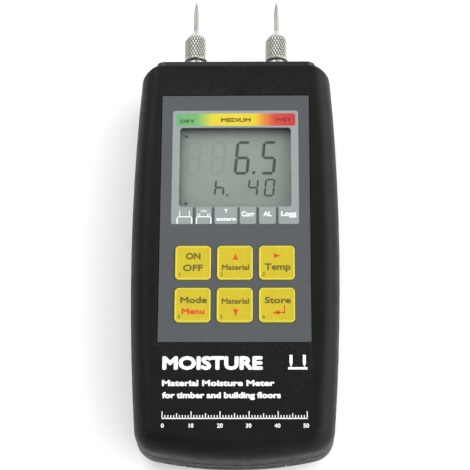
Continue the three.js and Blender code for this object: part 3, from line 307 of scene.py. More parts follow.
def solder_mask():
    """Green board with the weave of its glass cloth."""
    g = Graph("board_green")
    weave = g.nodes.new("ShaderNodeTexWave")
    weave.inputs["Scale"].default_value = 700
    weave.inputs["Distortion"].default_value = 6
    g.links.new(g.coords, weave.inputs["Vector"])
    base = g.mix(g.spread(weave.outputs["Fac"], 0, 0.35), (0.013, 0.10, 0.034), (0.03, 0.17, 0.06))
    g.feed("Base Color", base)
    g.feed("Roughness", g.spread(g.noise(400, 4), 0.3, 0.5))
    g.bump((weave.outputs["Fac"], 0.02 * MM))
    return g.material


MATERIALS = {
    "case_black": moulded("case_black", (0.0066, 0.0066, 0.0054), 0.42, 0.11, 0.16, 120,
                          0.03, 2400, 0.06, wear=(0.035, 0.034, 0.031)),
    "gloss_black": moulded("gloss_black", (0.006, 0.006, 0.0055), 0.3, 0.4, 0.2, 160,
                           0.006, 1600, 0.06, wear=(0.03, 0.03, 0.028)),
    "overlay_grey": moulded("overlay_grey", (0.078, 0.084, 0.088), 0.5, 0.2, 0.035, 500,
                            0.006, 3200, 0.05),
    "key_yellow": moulded("key_yellow", (0.53, 0.415, 0.014), 0.42, 0.3, 0.04, 600,
                          0.006, 3200, 0.05),
    "clear_window": window_glass(),
    "lcd": lcd_surface(),
    "nickel": metal("nickel", (0.5, 0.49, 0.44), 0.3, (1, 4, 1)),
    "steel": metal("steel", (0.34, 0.34, 0.315), 0.4, (1, 0.08, 1)),
    "dome_steel": metal("dome_steel", (0.62, 0.62, 0.6), 0.25, (1, 1, 1)),
    "board_green": solder_mask(),
    "film": moulded("film", (0.45, 0.22, 0.035), 0.4, 0.5, 0.15, 500),
    "component_black": moulded("component_black", (0.011, 0.011, 0.011), 0.45, 0.45, 0.2, 400,
                               0.01, 3000),
    "rubber": moulded("rubber", (0.013, 0.013, 0.013), 0.85, 0.3, 0.2, 500, 0.03, 1800),
    "foam": cell_foam(),
    "battery_can": moulded("battery_can", (0.03, 0.034, 0.045), 0.35, 0.5, 0.15, 200),
    "red_insulation": moulded("red_insulation", (0.42, 0.015, 0.01), 0.4, 0.5, 0.1, 500),
}


def print_ink(name, colour, vary=0.1, rough=0.5):
    return moulded(name, colour, rough, 0.3, vary, 1500, 0.01, 3000)


PANEL = moulded("panel_grey", (0.255, 0.295, 0.288), 0.46, 0.3, 0.03, 500, 0.005, 3200, 0.05)
WHITE_PRINT = print_ink("white_print", (0.9, 0.9, 0.88), 0.04)
TAB_PRINT = print_ink("tab_print", (0.8, 0.82, 0.82), 0.04)
OLIVE_PRINT = print_ink("olive_print", (0.14, 0.118, 0.014))
FAINT_PRINT = print_ink("faint_print", (0.25, 0.2, 0.014), 0.08)
RED_PRINT = print_ink("red_print", (0.6, 0.07, 0.012), 0.08, 0.48)
GREEN_PRINT = print_ink("green_print", (0.03, 0.12, 0.04))
BROWN_PRINT = print_ink("brown_print", (0.11, 0.08, 0.012))
WINE_PRINT = print_ink("wine_print", (0.22, 0.02, 0.035))
SEGMENT = moulded("lcd_segment", (0.03, 0.037, 0.036), 0.3, 0.4, 0.1, 900, 0.002, 3000)
GHOST = moulded("lcd_ghost", (0.205, 0.24, 0.212), 0.35, 0.3, 0.03, 900, 0.002, 3000)
# A lighter yellow for the key rims: a painted highlight where the raised rim catches the light.
RIM_YELLOW_HIGHLIGHT = moulded("key_rim_painted_highlight", (0.62, 0.53, 0.035), 0.42, 0.35, 0.05, 600, 0.006, 3200, 0.05)
KNURLED = knurled_metal()


SLOTS = {row["node"]: row["material_slot"] for row in frame["record"]["subparts"]}
for node_name, node in frame["nodes"].items():
    node.data.materials.clear()
    node.data.materials.append(MATERIALS[SLOTS[node_name]])


def body_of_node(name):
    for body, members in frame["record"]["behaviour"]["bodies"].items():
        if name in members:
            return body
    return None


# ------------------------------------------------------------------ mesh helpers
def new_object(name, bm, material, body, smooth_angle=None):
    bmesh.ops.recalc_face_normals(bm, faces=bm.faces)
    if smooth_angle is not None:
        limit = math.radians(smooth_angle)
        for face in bm.faces:
            face.smooth = True
        for edge in bm.edges:
            edge.smooth = edge.is_manifold and edge.calc_face_angle(0) < limit
    mesh = bpy.data.meshes.new(name)
    bm.to_mesh(mesh)
    bm.free()
    mesh.materials.append(material)
    obj = bpy.data.objects.new(name, mesh)
    bpy.context.scene.collection.objects.link(obj)
    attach(obj, body)
    return obj


WELD = 0.004            # vertices closer than this are one
FLAT = math.radians(0.15)  # faces that meet at less than this are one flat


def refined(node_name, name, bevel, angle=35, segments=2, merge_flats=True):
    """A copy of a CAD piece with eased edges and smooth shading, which stands for it.

    merge_flats joins the triangles of a flat, which goes wrong where the flat has islands.
    """
    source = frame["nodes"][node_name]
    bm = bmesh.new()
    bm.from_mesh(source.data)
    bmesh.ops.remove_doubles(bm, verts=bm.verts, dist=WELD * MM)
    if merge_flats:
        bmesh.ops.dissolve_limit(bm, angle_limit=FLAT, verts=bm.verts, edges=bm.edges)
    slot = SLOTS[node_name]
    obj = new_object(name, bm, MATERIALS[slot], body_of_node(node_name), angle)
    easing = obj.modifiers.new("eased", "BEVEL")
    easing.width = bevel * MM
    easing.segments = segments
    easing.limit_method = "ANGLE"
    easing.angle_limit = math.radians(angle)
    easing.harden_normals = True
    easing.use_clamp_overlap = True
    easing.miter_outer = "MITER_ARC"
    weighted = obj.modifiers.new("weighted", "WEIGHTED_NORMAL")
    weighted.keep_sharp = True
    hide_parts(node_name)


def rounded_rectangle(half_x, half_y, radius, steps=6):
    """Corner points, counter-clockwise from the lower right."""
    points = []
    for cx, cy, start in ((1, -1, -90), (1, 1, 0), (-1, 1, 90), (-1, -1, 180)):
        for i in range(steps + 1):
            angle = math.radians(start + 90 * i / steps)
            points.append((
                cx * (half_x - radius) + radius * math.cos(angle),
                cy * (half_y - radius) + radius * math.sin(angle),
            ))
    return points


def stack(bm, rings):
    """Joins rings of equal count, each a list of (x, y, z) in mm, into a closed skin."""
    made = [[bm.verts.new(Vector(point) * MM) for point in ring] for ring in rings]
    count = len(rings[0])
    for lower, upper in zip(made, made[1:]):
        for i in range(count):
            j = (i + 1) % count
            bm.faces.new((lower[i], lower[j], upper[j], upper[i]))
    bm.faces.new(tuple(reversed(made[0])))
    bm.faces.new(tuple(made[-1]))


def prism(bm, outline, z0, z1):
    stack(bm, [[(x, y, z0) for x, y in outline], [(x, y, z1) for x, y in outline]])


def round_point(x, z, radius, y, i, sides):
    """Point i of the ring at height y about the line along Y through (x, z)."""
    angle = 2 * math.pi * i / sides
    return Vector((x + radius * math.cos(angle), y, z + radius * math.sin(angle))) * MM


def turned(name, profile, x, z, material, body, sides, smooth_angle):
    """A rod turned about the line along Y through (x, z); profile is (radius, y) in mm."""
    bm = bmesh.new()
    rings = []
    for radius, y in profile:
        if radius == 0:
            rings.append([bm.verts.new(Vector((x, y, z)) * MM)])
        else:
            rings.append([bm.verts.new(round_point(x, z, radius, y, i, sides))
                          for i in range(sides)])
    for lower, upper in zip(rings, rings[1:]):
        for i in range(sides):
            j = (i + 1) % sides
            if len(lower) == 1:
                bm.faces.new((lower[0], upper[i], upper[j]))
            elif len(upper) == 1:
                bm.faces.new((lower[i], upper[0], lower[j]))
            else:
                bm.faces.new((lower[i], upper[i], upper[j], lower[j]))
    return new_object(name, bm, material, body, smooth_angle)


# ------------------------------------------------------------------ places from the CAD
def edges_mm(node_name):
    low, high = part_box(node_name)
    return [v / MM for v in low], [v / MM for v in high]


FACE_Z = edges_mm("front_shell")[1][2]
FILM_Z = edges_mm("keypad_overlay")[1][2]
LCD_Z = edges_mm("lcd_glass")[1][2]
WINDOW_HALF_X = 19.25
WINDOW_LOW_Y = 2.2
WINDOW_HIGH_Y = 31.68
WINDOW_CORNER = 1.2
INK = 0.012             # thickness of printed ink
LIFT = 0.004            # ink above what it is printed on
FONT_CAPITAL = 0.69     # height of a capital at size 1
COPY_STEP = 0.002       # height between the copies that thicken a letter
DIAGONAL = 0.7          # of the thickening, for the copies toward the corners


# ------------------------------------------------------------------ print
def lettering(name, text, size, x, y, z, material, body, bold=0.0, width=None, align="CENTER"):
    """Letters of a given capital height, centred on y.

    width stretches them to fit, and bold thickens them by overlapping copies. All in mm.
    """
    curve = bpy.data.curves.new(name, "FONT")
    curve.body = text
    curve.size = 1.0
    curve.resolution_u = 3
    temporary = bpy.data.objects.new(name + "_letters", curve)
    bpy.context.scene.collection.objects.link(temporary)
    bpy.context.view_layer.update()
    graph = bpy.context.evaluated_depsgraph_get()
    mesh = bpy.data.meshes.new_from_object(temporary.evaluated_get(graph))
    bpy.data.objects.remove(temporary)
    bpy.data.curves.remove(curve)
    left = min(v.co.x for v in mesh.vertices)
    right = max(v.co.x for v in mesh.vertices)
    scale_y = (size - bold) / FONT_CAPITAL
    scale_x = (width - bold) / (right - left) if width else scale_y
    start = x - (right - left) * scale_x / 2 if align == "CENTER" else x + bold / 2
    half = bold / 2
    places = [(0, 0)]
    if bold:
        slant = half * DIAGONAL
        places += [(-half, 0), (half, 0), (0, -half), (0, half),
                   (-slant, -slant), (slant, slant), (-slant, slant), (slant, -slant)]
    bm = bmesh.new()
    for step, (dx, dy) in enumerate(places):
        vertices = [
            bm.verts.new(Vector((
                start + (v.co.x - left) * scale_x + dx,
                y - (size - bold) / 2 + v.co.y * scale_y + dy,
                z + LIFT + step * COPY_STEP,
            )) * MM)
            for v in mesh.vertices
        ]
        for polygon in mesh.polygons:
            bm.faces.new([vertices[i] for i in polygon.vertices])
    bpy.data.meshes.remove(mesh)
    raised = bmesh.ops.extrude_face_region(bm, geom=bm.faces[:])
    for item in raised["geom"]:
        if isinstance(item, bmesh.types.BMVert):
            item.co.z += INK * MM
    new_object(name, bm, material, body)


def printed_shapes(name, outlines, z, material, body, thickness=INK):
    """Flat printed shapes; each outline is a list of (x, y) in mm."""
    bm = bmesh.new()
    for outline in outlines:
        prism(bm, outline, z + LIFT, z + LIFT + thickness)
    new_object(name, bm, material, body)


def stroke(x0, y0, x1, y1, width):
    """A straight printed line as an outline."""
    dx, dy = x1 - x0, y1 - y0
    length = math.hypot(dx, dy)
    nx, ny = -dy / length * width / 2, dx / length * width / 2
    return [(x0 - nx, y0 - ny), (x1 - nx, y1 - ny),
            (x1 + nx, y1 + ny), (x0 + nx, y0 + ny)]


def shifted(outline, dx, dy):
    return [(x + dx, y + dy) for x, y in outline]


def triangle(x, y, width, height, pointing):
    half_w, half_h = width / 2, height / 2
    shapes = {
        "up": [(-half_w, -half_h), (half_w, -half_h), (0, half_h)],
        "down": [(-half_w, half_h), (0, -half_h), (half_w, half_h)],
        "right": [(-half_w, -half_h), (half_w, 0), (-half_w, half_h)],
        "left": [(half_w, -half_h), (half_w, half_h), (-half_w, 0)],
    }
    return shifted(shapes[pointing], x, y)


# Display panel: a frame round the window whose lower edge is cut into six tabs
PANEL_HALF_X = 21.8
PANEL_TOP = 38.1
PANEL_BAND = 6          # of the panel's top, enough to hold its rounded corners
PANEL_LOW = -4.1
TAB_TOP = 2.0
TAB_CORNER = 0.7
TABS = ((-21.8, -14.5), (-13.45, -8.0), (-7.0, 0.8), (1.6, 7.2), (8.2, 13.9), (14.8, 21.8))
PANEL_INK = 0.03
FILLET_STEPS = 6


def display_panel():
    middle = PANEL_TOP - PANEL_BAND
    top = shifted(rounded_rectangle(PANEL_HALF_X, PANEL_BAND, 1.0), 0, middle)
    upper = [p for p in top if p[1] > middle]
    pieces = [[(PANEL_HALF_X, WINDOW_HIGH_Y)] + upper + [(-PANEL_HALF_X, WINDOW_HIGH_Y)]]
    for side in (-1, 1):
        inner, outer = side * WINDOW_HALF_X, side * PANEL_HALF_X
        pieces.append([(inner, TAB_TOP), (outer, TAB_TOP),
                       (outer, WINDOW_HIGH_Y), (inner, WINDOW_HIGH_Y)])
    pieces.append([(-WINDOW_HALF_X, TAB_TOP), (WINDOW_HALF_X, TAB_TOP),
                   (WINDOW_HALF_X, WINDOW_LOW_Y), (-WINDOW_HALF_X, WINDOW_LOW_Y)])
    for side_x in (-1, 1):
        for side_y, edge_y in ((-1, WINDOW_LOW_Y), (1, WINDOW_HIGH_Y)):
            corner_x = side_x * WINDOW_HALF_X
            fillet = [(corner_x, edge_y)]
            for i in range(FILLET_STEPS + 1):
                turn = math.radians(90 * i / FILLET_STEPS)
                fillet.append((
                    corner_x - side_x * WINDOW_CORNER * (1 - math.sin(turn)),
                    edge_y - side_y * WINDOW_CORNER * (1 - math.cos(turn)),
                ))
            pieces.append(fillet)
    for x0, x1 in TABS:
        half_x, half_y = (x1 - x0) / 2, (TAB_TOP - PANEL_LOW) / 2 + 1
        ring = shifted(rounded_rectangle(half_x, half_y, TAB_CORNER),
                       (x0 + x1) / 2, PANEL_LOW + half_y)
        kept = [(x, min(y, TAB_TOP)) for x, y in ring]
        pieces.append([p for i, p in enumerate(kept) if p != kept[i - 1]])
    bm = bmesh.new()
    for outline in pieces:
        prism(bm, outline, FILM_Z, FILM_Z + PANEL_INK)
    new_object("display_panel_print", bm, PANEL, "case", None)


PANEL_Z = FILM_Z + PANEL_INK
BAR_HALF_X = 20.7
BAR_HALF_Y = 2.35
BAR_CORNER = 0.8
BAR_MID_X = 0.1
BAR_MID_Y = 34.7
# name, text, capital height, x, y, thickening, width
TAB_WORDS = (
    ("tab_t", "T", 1.4, -3.1, 0.62, 0.2, None),
    ("tab_extern", "extern", 1.45, -3.05, -2.25, 0.2, 6.7),
    ("tab_corr", "Corr", 1.95, 4.45, -0.45, 0.22, 4.5),
    ("tab_al", "AL", 1.9, 11.05, -0.4, 0.22, 2.9),
    ("tab_logg", "Logg", 1.9, 18.3, -0.35, 0.22, 5.3),
)
BAR_WORDS = (
    ("bar_dry", "DRY", 1.45, -16.7, 34.1, 0.18, 5.0, GREEN_PRINT),
    ("bar_medium", "MEDIUM", 1.55, 0.15, 34.55, 0.2, 10.3, BROWN_PRINT),
    ("bar_wet", "WET", 1.45, 16.6, 34.65, 0.2, 5.6, WINE_PRINT),
)


def overlay_print():
    display_panel()
    bar = shifted(rounded_rectangle(BAR_HALF_X, BAR_HALF_Y, BAR_CORNER), BAR_MID_X, BAR_MID_Y)
    printed_shapes("moisture_colour_bar", [bar], PANEL_Z, colour_bar(BAR_HALF_X * MM), "case")
    for name, text, size, x, y, bold, width, ink in BAR_WORDS:
        lettering(name, text, size, x, y, PANEL_Z + INK, ink, "case", bold, width)
    for name, text, size, x, y, bold, width in TAB_WORDS:
        lettering(name, text, size, x, y, PANEL_Z, TAB_PRINT, "case", bold, width)
    for name, x, waves in (("tab_pins", -17.25, False), ("tab_pins_heard", -10.7, True)):
        printed_shapes(name, meter_icon(x, waves), PANEL_Z, TAB_PRINT, "case")


def meter_icon(x, waves):
    """The instrument's own outline with its two pins, cut off by the tab's lower edge."""
    half, top, low, line = 2.5, -1.45, PANEL_LOW + 0.1, 0.42
    shapes = [
        stroke(x - half, low, x - half, top - 0.35, line),
        stroke(x + half, low, x + half, top - 0.35, line),
        stroke(x - half + 0.35, top, x + half - 0.35, top, line),
        stroke(x - half, top - 0.4, x - half + 0.42, top, line * 0.8),
        stroke(x + half, top - 0.4, x + half - 0.42, top, line * 0.8),
    ]
    if waves:
        for radius in (0.75, 1.35):
            last = None
            for i in range(7):
                angle = math.radians(35 + 110 * i / 6)
                point = (x + radius * math.cos(angle), -0.35 + radius * math.sin(angle))
                if last:
                    shapes.append(stroke(*last, *point, 0.24))
                last = point
        for offset in (-2.0, -1.35, 1.35, 2.0):
            shapes.append(stroke(x + offset, top + 0.25, x + offset, top + 1.3, 0.26))
    else:
        for offset in (-1.65, 1.65):
            shapes.append(stroke(x + offset, top + 0.2, x + offset, 0.75, 0.3))
    return shapes


overlay_print()


# ------------------------------------------------------------------ liquid crystal display
SEGMENTS = {
    "0": "abcdef", "4": "bcfg", "5": "acdfg", "6": "acdefg", "8": "abcdefg", "h": "cefg",
}
SLANT = 0.09                # sideways per height
SEGMENT_GAP = 0.09          # of a segment's thickness
BIG_DIGIT = (5.2, 12.6, 1.05)   # width, height, thickness of a segment
SMALL_DIGIT = (3.6, 6.6, 0.68)
SMALL_LETTER = (3.5, 6.2, 0.68)
BIG_Y = 15.2
SMALL_Y = 7.1


def digit(char, x, y, width, height, line):
    """Slanted segments with mitred ends; (x, y) is the lower left corner of the upright box."""
    half = line / 2
    gap = line * SEGMENT_GAP
    left, right, low, high, mid = half, width - half, half, height - half, height / 2
    ends = {
        "a": (left, high, right, high), "d": (left, low, right, low), "g": (left, mid, right, mid),
        "f": (left, mid, left, high), "b": (right, mid, right, high),
        "e": (left, low, left, mid), "c": (right, low, right, mid),
    }
    shapes = []
    for segment in SEGMENTS[char]:
        x0, y0, x1, y1 = ends[segment]
        dx, dy = x1 - x0, y1 - y0
        length = math.hypot(dx, dy)
        ux, uy = dx / length, dy / length
        start, end = gap, length - gap
        outline = []
        for along, across in ((start, 0), (start + half, -half), (end - half, -half),
                              (end, 0), (end - half, half), (start + half, half)):
            px, py = x0 + ux * along - uy * across, y0 + uy * along + ux * across
            outline.append((x + px + SLANT * py, y + py))
        shapes.append(outline)
    return shapes


def point_mark(x, y, size):
    """A decimal point, slightly slanted as the digits are."""
    half, lean = size / 2, 0.05
    return [(x - half, y - half), (x + half - lean, y - half),
            (x + half, y + half), (x - half + lean, y + half)]


def lcd_figures():
    shown = digit("6", -0.75, BIG_Y, *BIG_DIGIT) + digit("5", 8.4, BIG_Y, *BIG_DIGIT)
    shown += [point_mark(6.35, 15.95, 1.1)]
    shown += digit("h", -7.5, 7.3, *SMALL_LETTER) + [point_mark(-2.85, 7.55, 0.75)]
    shown += digit("4", 4.0, SMALL_Y, *SMALL_DIGIT) + digit("0", 9.7, SMALL_Y, *SMALL_DIGIT)
    shown += [triangle(-17.2, 29.75, 1.5, 1.15, "up"), triangle(-17.0, 4.3, 1.7, 1.2, "down")]
    printed_shapes("lcd_figures", shown, LCD_Z, SEGMENT, "case")
    faint = digit("8", -17.6, BIG_Y, *BIG_DIGIT) + digit("8", -9.2, BIG_Y, *BIG_DIGIT)
    printed_shapes("lcd_resting_figures", faint, LCD_Z, GHOST, "case", INK / 3)


lcd_figures()


# ------------------------------------------------------------------ keys
KEYS = {
    "power": "1", "up": "2", "right": "3", "menu": "4", "down": "5", "store": "6",
}
KEY_CORNER = 1.5
KEY_RIM = 0.55          # width of the raised rim
LEGEND_DROP = 0.088     # of the printed middle below the rim
KEY_SECTION = (         # inset from the edge, height below the top
    (0.0, 0.22), (0.03, 0.12), (0.1, 0.04), (0.2, 0.005), (0.3, 0.0),
    (KEY_RIM - 0.1, 0.01), (KEY_RIM, 0.05), (KEY_RIM + 0.1, 0.09), (KEY_RIM + 0.22, 0.1),
    (KEY_RIM + 2.0, 0.085), (KEY_RIM + 3.8, 0.08),
)


def key_cap(key):
    node_name = "key_" + key
    low, high = edges_mm(node_name)
    x, y = (low[0] + high[0]) / 2, (low[1] + high[1]) / 2
    half = (high[0] - low[0]) / 2
    top = high[2]
    bm = bmesh.new()
    rings = []
    for inset, drop in ((0.0, top - low[2]), *KEY_SECTION):
        radius = max(0.35, KEY_CORNER - inset)
        ring = rounded_rectangle(half - inset, half - inset, radius, 8)
        rings.append([(x + px, y + py, top - drop) for px, py in ring])
    stack(bm, rings)
    body = key + "_key"
    cap = new_object("keycap_" + key, bm, MATERIALS["key_yellow"], body, 40)
    # The rim faces get the lighter yellow, a painted highlight.
    cap.data.materials.append(RIM_YELLOW_HIGHLIGHT)
    inner = half - KEY_RIM - 0.05
    for face in cap.data.polygons:
        centre = face.center / MM
        if max(abs(centre.x - x), abs(centre.y - y)) > inner:
            face.material_index = 1
    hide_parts(node_name)
    printed = top - LEGEND_DROP
    legend(key, x, y, printed, body)
    lettering("digit_" + key, KEYS[key], 1.45, x - 4.45, y - 4.1, printed, FAINT_PRINT, body,
              0.12)


def legend(key, x, y, z, body):
    def word(name, text, size, dx, dy, width, ink=OLIVE_PRINT, bold=0.28):
        lettering(name, text, size, x + dx, y + dy, z, ink, body, bold, width)

    def mark(name, *outlines):
        printed_shapes(name, outlines, z, RED_PRINT, body)

    if key == "power":
        word("legend_on", "ON", 2.4, 0.05, 2.35, 5.0)
        word("legend_off", "OFF", 2.4, 0.0, -1.85, 6.8)
    elif key == "up":
        word("legend_material_up", "Material", 1.95, 0.25, -1.65, 9.2, bold=0.2)
        mark("arrow_up", triangle(x + 0.2, y + 2.2, 1.9, 2.4, "up"))
    elif key == "right":
        word("legend_temp", "Temp", 2.45, 0.3, -1.45, 8.8)
        mark("arrow_right", triangle(x + 0.15, y + 2.45, 2.4, 1.75, "right"))
    elif key == "menu":
        word("legend_mode", "Mode", 2.3, 0.4, 1.75, 8.9)
        word("legend_menu", "Menu", 2.1, 0.25, -2.2, 7.7, RED_PRINT)
    elif key == "down":
        word("legend_material_down", "Material", 1.95, 0.25, 1.35, 9.2, bold=0.2)
        mark("arrow_down", triangle(x + 0.35, y - 2.7, 1.9, 2.45, "down"))
    elif key == "store":
        word("legend_store", "Store", 2.3, 0.3, 1.7, 8.8)
        mark("arrow_enter",
             stroke(x + 2.5, y - 0.1, x + 2.5, y - 2.85, 0.42),
             stroke(x + 2.71, y - 2.7, x + 0.4, y - 2.7, 0.42),
             triangle(x - 0.35, y - 2.7, 2.3, 1.75, "left"))


for key_name in KEYS:
    key_cap(key_name)


# ------------------------------------------------------------------ print on the case
# name, text, capital height, left edge, y, thickening, width
CASE_WORDS = (
    ("print_title", "MOISTURE", 4.7, -23.8, -53.15, 0.68, 33.2),
    ("print_line_1", "Material Moisture Meter", 2.1, -23.8, -60.0, 0.3, 37.0),
    ("print_line_2", "for timber and building floors", 2.1, -23.7, -64.1, 0.3, 39.0),
)
PINS_X = 20.9           # pictogram of two pins on a surface
PINS_HALF = 2.2
SCALE_Y = -71.9
SCALE_LEFT = -23.55
SCALE_STEP = 0.948
FIGURE_Y = -74.3
FIGURE_LEFT = -23.4
FIGURE_STEP = 9.38


def case_print():
    for name, text, size, left, y, bold, width in CASE_WORDS:
        lettering(name, text, size, left, y, FACE_Z, WHITE_PRINT, "case", bold, width, "LEFT")
    pins = []
    for x in (PINS_X - PINS_HALF, PINS_X + PINS_HALF):
        pins.append(stroke(x, -50.4, x, -53.4, 1.0))
        pins.append(triangle(x, -54.0, 1.0, 1.3, "down"))
    pins.append(stroke(PINS_X - 3.2, -55.0, PINS_X + 3.2, -55.0, 0.8))
    printed_shapes("print_pins", pins, FACE_Z, WHITE_PRINT, "case")
    rule = [stroke(-23.7, SCALE_Y, 24.0, SCALE_Y, 0.35)]
    for i in range(51):
        x = SCALE_LEFT + SCALE_STEP * i
        tall = 2.4 if i % 10 == 0 else 1.7 if i % 5 == 0 else 1.1
        rule.append(stroke(x, SCALE_Y, x, SCALE_Y + tall, 0.3))
    printed_shapes("print_scale", rule, FACE_Z, WHITE_PRINT, "case")
    for i in range(6):
        lettering(f"print_scale_{i}", str(10 * i), 1.45, FIGURE_LEFT + FIGURE_STEP * i, FIGURE_Y,
                  FACE_Z, WHITE_PRINT, "case", 0.12)


case_print()


# ------------------------------------------------------------------ electrodes
NUT_RADIUS = 4.05
NUT_LENGTH = 8.1        # before the cone
NUT_TIP_RADIUS = 1.15
NUT_EYE = 0.94          # hole for the needle
NUT_BORE = 2.6          # hole for the stud
HEAD_ROOM = 1.5         # needle's head and its play, at the top of the bore
STARTS = 24             # grooves round the nut, each way
GROOVE_PITCH = 1.94     # along the nut
GROOVE_DEPTH = 0.36
GROOVE_SHARPNESS = 1.35
GROOVE_START = 0.35     # from the rim
GROOVE_RUN_IN = 0.3     # distance over which they reach full depth
CONE_KNURLED = 0.46     # share of the cone with grooves
CONE_RUN_OUT = 0.3      # share of the cone over which they end
RIM_ROUNDING = 0.3      # taken off the radius at the rim
RIM_LENGTH = 0.45       # and how far along
NUT_SIDES = 240
NUT_ROWS = 72
CONE_ROWS = 36
NEEDLE_RADIUS = 0.87
HEAD_THICK = 1.4
HEAD_EDGE = 0.1
NEEDLE_POINT = (        # share of the needle's radius, distance from the tip
    (1, 4.6), (0.99, 4.4), (0.86, 3.2), (0.66, 2.0), (0.4, 0.9), (0.16, 0.22), (0, 0),
)
STUD_RADIUS = 2.5
TAIL_RADIUS = 0.75      # solder tail behind the stud
TAIL_LENGTH = 2.5
FOOT_RADIUS = 4.5
COLLAR_RADIUS = 3.4
COLLAR_HEIGHT = 2.6
COLLAR_SECTION = (      # radius, height above the plate
    (FOOT_RADIUS - 0.12, 0), (FOOT_RADIUS, 0.12), (FOOT_RADIUS, 0.4), (FOOT_RADIUS - 0.14, 0.5),
    (COLLAR_RADIUS + 0.25, 0.5), (COLLAR_RADIUS + 0.05, 0.58), (COLLAR_RADIUS, 0.8),
    (COLLAR_RADIUS, 1.0), (COLLAR_RADIUS - 0.22, 1.1), (COLLAR_RADIUS - 0.22, 1.3),
    (COLLAR_RADIUS, 1.4), (COLLAR_RADIUS, 2.3), (COLLAR_RADIUS - 0.1, 2.5),
    (COLLAR_RADIUS - 0.3, COLLAR_HEIGHT), (STUD_RADIUS, COLLAR_HEIGHT),
)
THREAD_PITCH = 0.8
THREAD_DEPTH = 0.25


def axis_and_ends(node_name):
    """x and z of the middle, and the two ends along y."""
    low, high = edges_mm(node_name)
    return (low[0] + high[0]) / 2, (low[2] + high[2]) / 2, low[1], high[1]


def ridge(phase):
    return 1 - abs(2 * (phase - math.floor(phase)) - 1)


def clamped(value):
    return min(max(value, 0), 1)


def knurled_nut(side):
    """A nut whose crossed grooves are cut into its mesh and kept as the groove attribute, which
    its material uses to paint shade into the grooves.
    """
    node_name = "knurled_nut_" + side
    x, z, rim, tip = axis_and_ends(node_name)
    shoulder = rim + NUT_LENGTH
    head_top = edges_mm("electrode_needle_" + side)[0][1] + HEAD_ROOM
    profile = []        # radius, y, share of the full groove depth
    for i in range(NUT_ROWS + 1):
        y = rim + NUT_LENGTH * i / NUT_ROWS
        edge = min((y - rim) / RIM_LENGTH, 1)
        strength = clamped((y - rim - GROOVE_START) / GROOVE_RUN_IN)
        profile.append((NUT_RADIUS - RIM_ROUNDING * (1 - edge) ** 2, y, strength))
    for i in range(1, CONE_ROWS + 1):
        share = i / CONE_ROWS
        radius = NUT_TIP_RADIUS + (NUT_RADIUS - NUT_TIP_RADIUS) * (1 - share)
        strength = clamped((CONE_KNURLED - share) / CONE_RUN_OUT)
        profile.append((radius, shoulder + (tip - shoulder) * share, strength))
    bm = bmesh.new()
    layer = bm.verts.layers.float.new("groove")
    rings = []
    for radius, y, strength in profile:
        ring = []
        for i in range(NUT_SIDES):
            turn = i / NUT_SIDES * STARTS
            along = (y - rim) / GROOVE_PITCH
            land = min(ridge(turn + along), ridge(turn - along))
            cut = strength * (1 - min(1, GROOVE_SHARPNESS * land))
            depth = GROOVE_DEPTH * cut * (radius / NUT_RADIUS) ** 2
            vert = bm.verts.new(round_point(x, z, radius - depth, y, i, NUT_SIDES))
            vert[layer] = cut
            ring.append(vert)
        rings.append(ring)
    for radius, y in ((NUT_EYE + 0.08, tip), (NUT_EYE, tip - 0.1), (NUT_EYE, head_top),
                      (NUT_BORE, head_top), (NUT_BORE, rim + 0.3), (NUT_BORE + 0.25, rim)):
        rings.append([bm.verts.new(round_point(x, z, radius, y, i, NUT_SIDES))
                      for i in range(NUT_SIDES)])
    rings.append(rings[0])
    for lower, upper in zip(rings, rings[1:]):
        for i in range(NUT_SIDES):
            j = (i + 1) % NUT_SIDES
            bm.faces.new((lower[i], upper[i], upper[j], lower[j]))
    nut = new_object("nut_" + side, bm, KNURLED, side + "_nut", 60)
    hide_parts(node_name)


def needle(side):
    node_name = "electrode_needle_" + side
    x, z, rear, tip = axis_and_ends(node_name)
    low, high = edges_mm(node_name)
    head = (high[0] - low[0]) / 2
    profile = [(0, rear), (head - HEAD_EDGE, rear), (head, rear + HEAD_EDGE),
               (head, rear + HEAD_THICK - HEAD_EDGE), (head - HEAD_EDGE, rear + HEAD_THICK),
               (NEEDLE_RADIUS, rear + HEAD_THICK)]
    profile += [(NEEDLE_RADIUS * share, tip - back) for share, back in NEEDLE_POINT]
    piece = turned("needle_" + side, profile, x, z, MATERIALS["steel"], side + "_needle",
                   48, 40)
    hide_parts(node_name)


def socket(side):
    """Stud, collar and foot; ring grooves a pitch apart stand for the thread."""
    node_name = "electrode_socket_" + side
    x, z, rear, top = axis_and_ends(node_name)
    plate = edges_mm("top_plate")[1][1]
    profile = [(0, rear), (TAIL_RADIUS, rear), (TAIL_RADIUS, rear + TAIL_LENGTH),
               (STUD_RADIUS, rear + TAIL_LENGTH), (STUD_RADIUS, plate)]
    profile += [(radius, plate + height) for radius, height in COLLAR_SECTION]
    y = plate + COLLAR_HEIGHT
    while y + THREAD_PITCH < top:
        profile += [(STUD_RADIUS, y + 0.15), (STUD_RADIUS - THREAD_DEPTH, y + 0.4),
                    (STUD_RADIUS, y + 0.65)]
        y += THREAD_PITCH
    profile += [(STUD_RADIUS, top - 0.2), (STUD_RADIUS - 0.2, top), (0, top)]
    piece = turned("socket_" + side, profile, x, z, MATERIALS["nickel"], "case", 64, 35)
    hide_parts(node_name)


for side_name in ("left", "right"):
    needle(side_name)
    knurled_nut(side_name)
    socket(side_name)


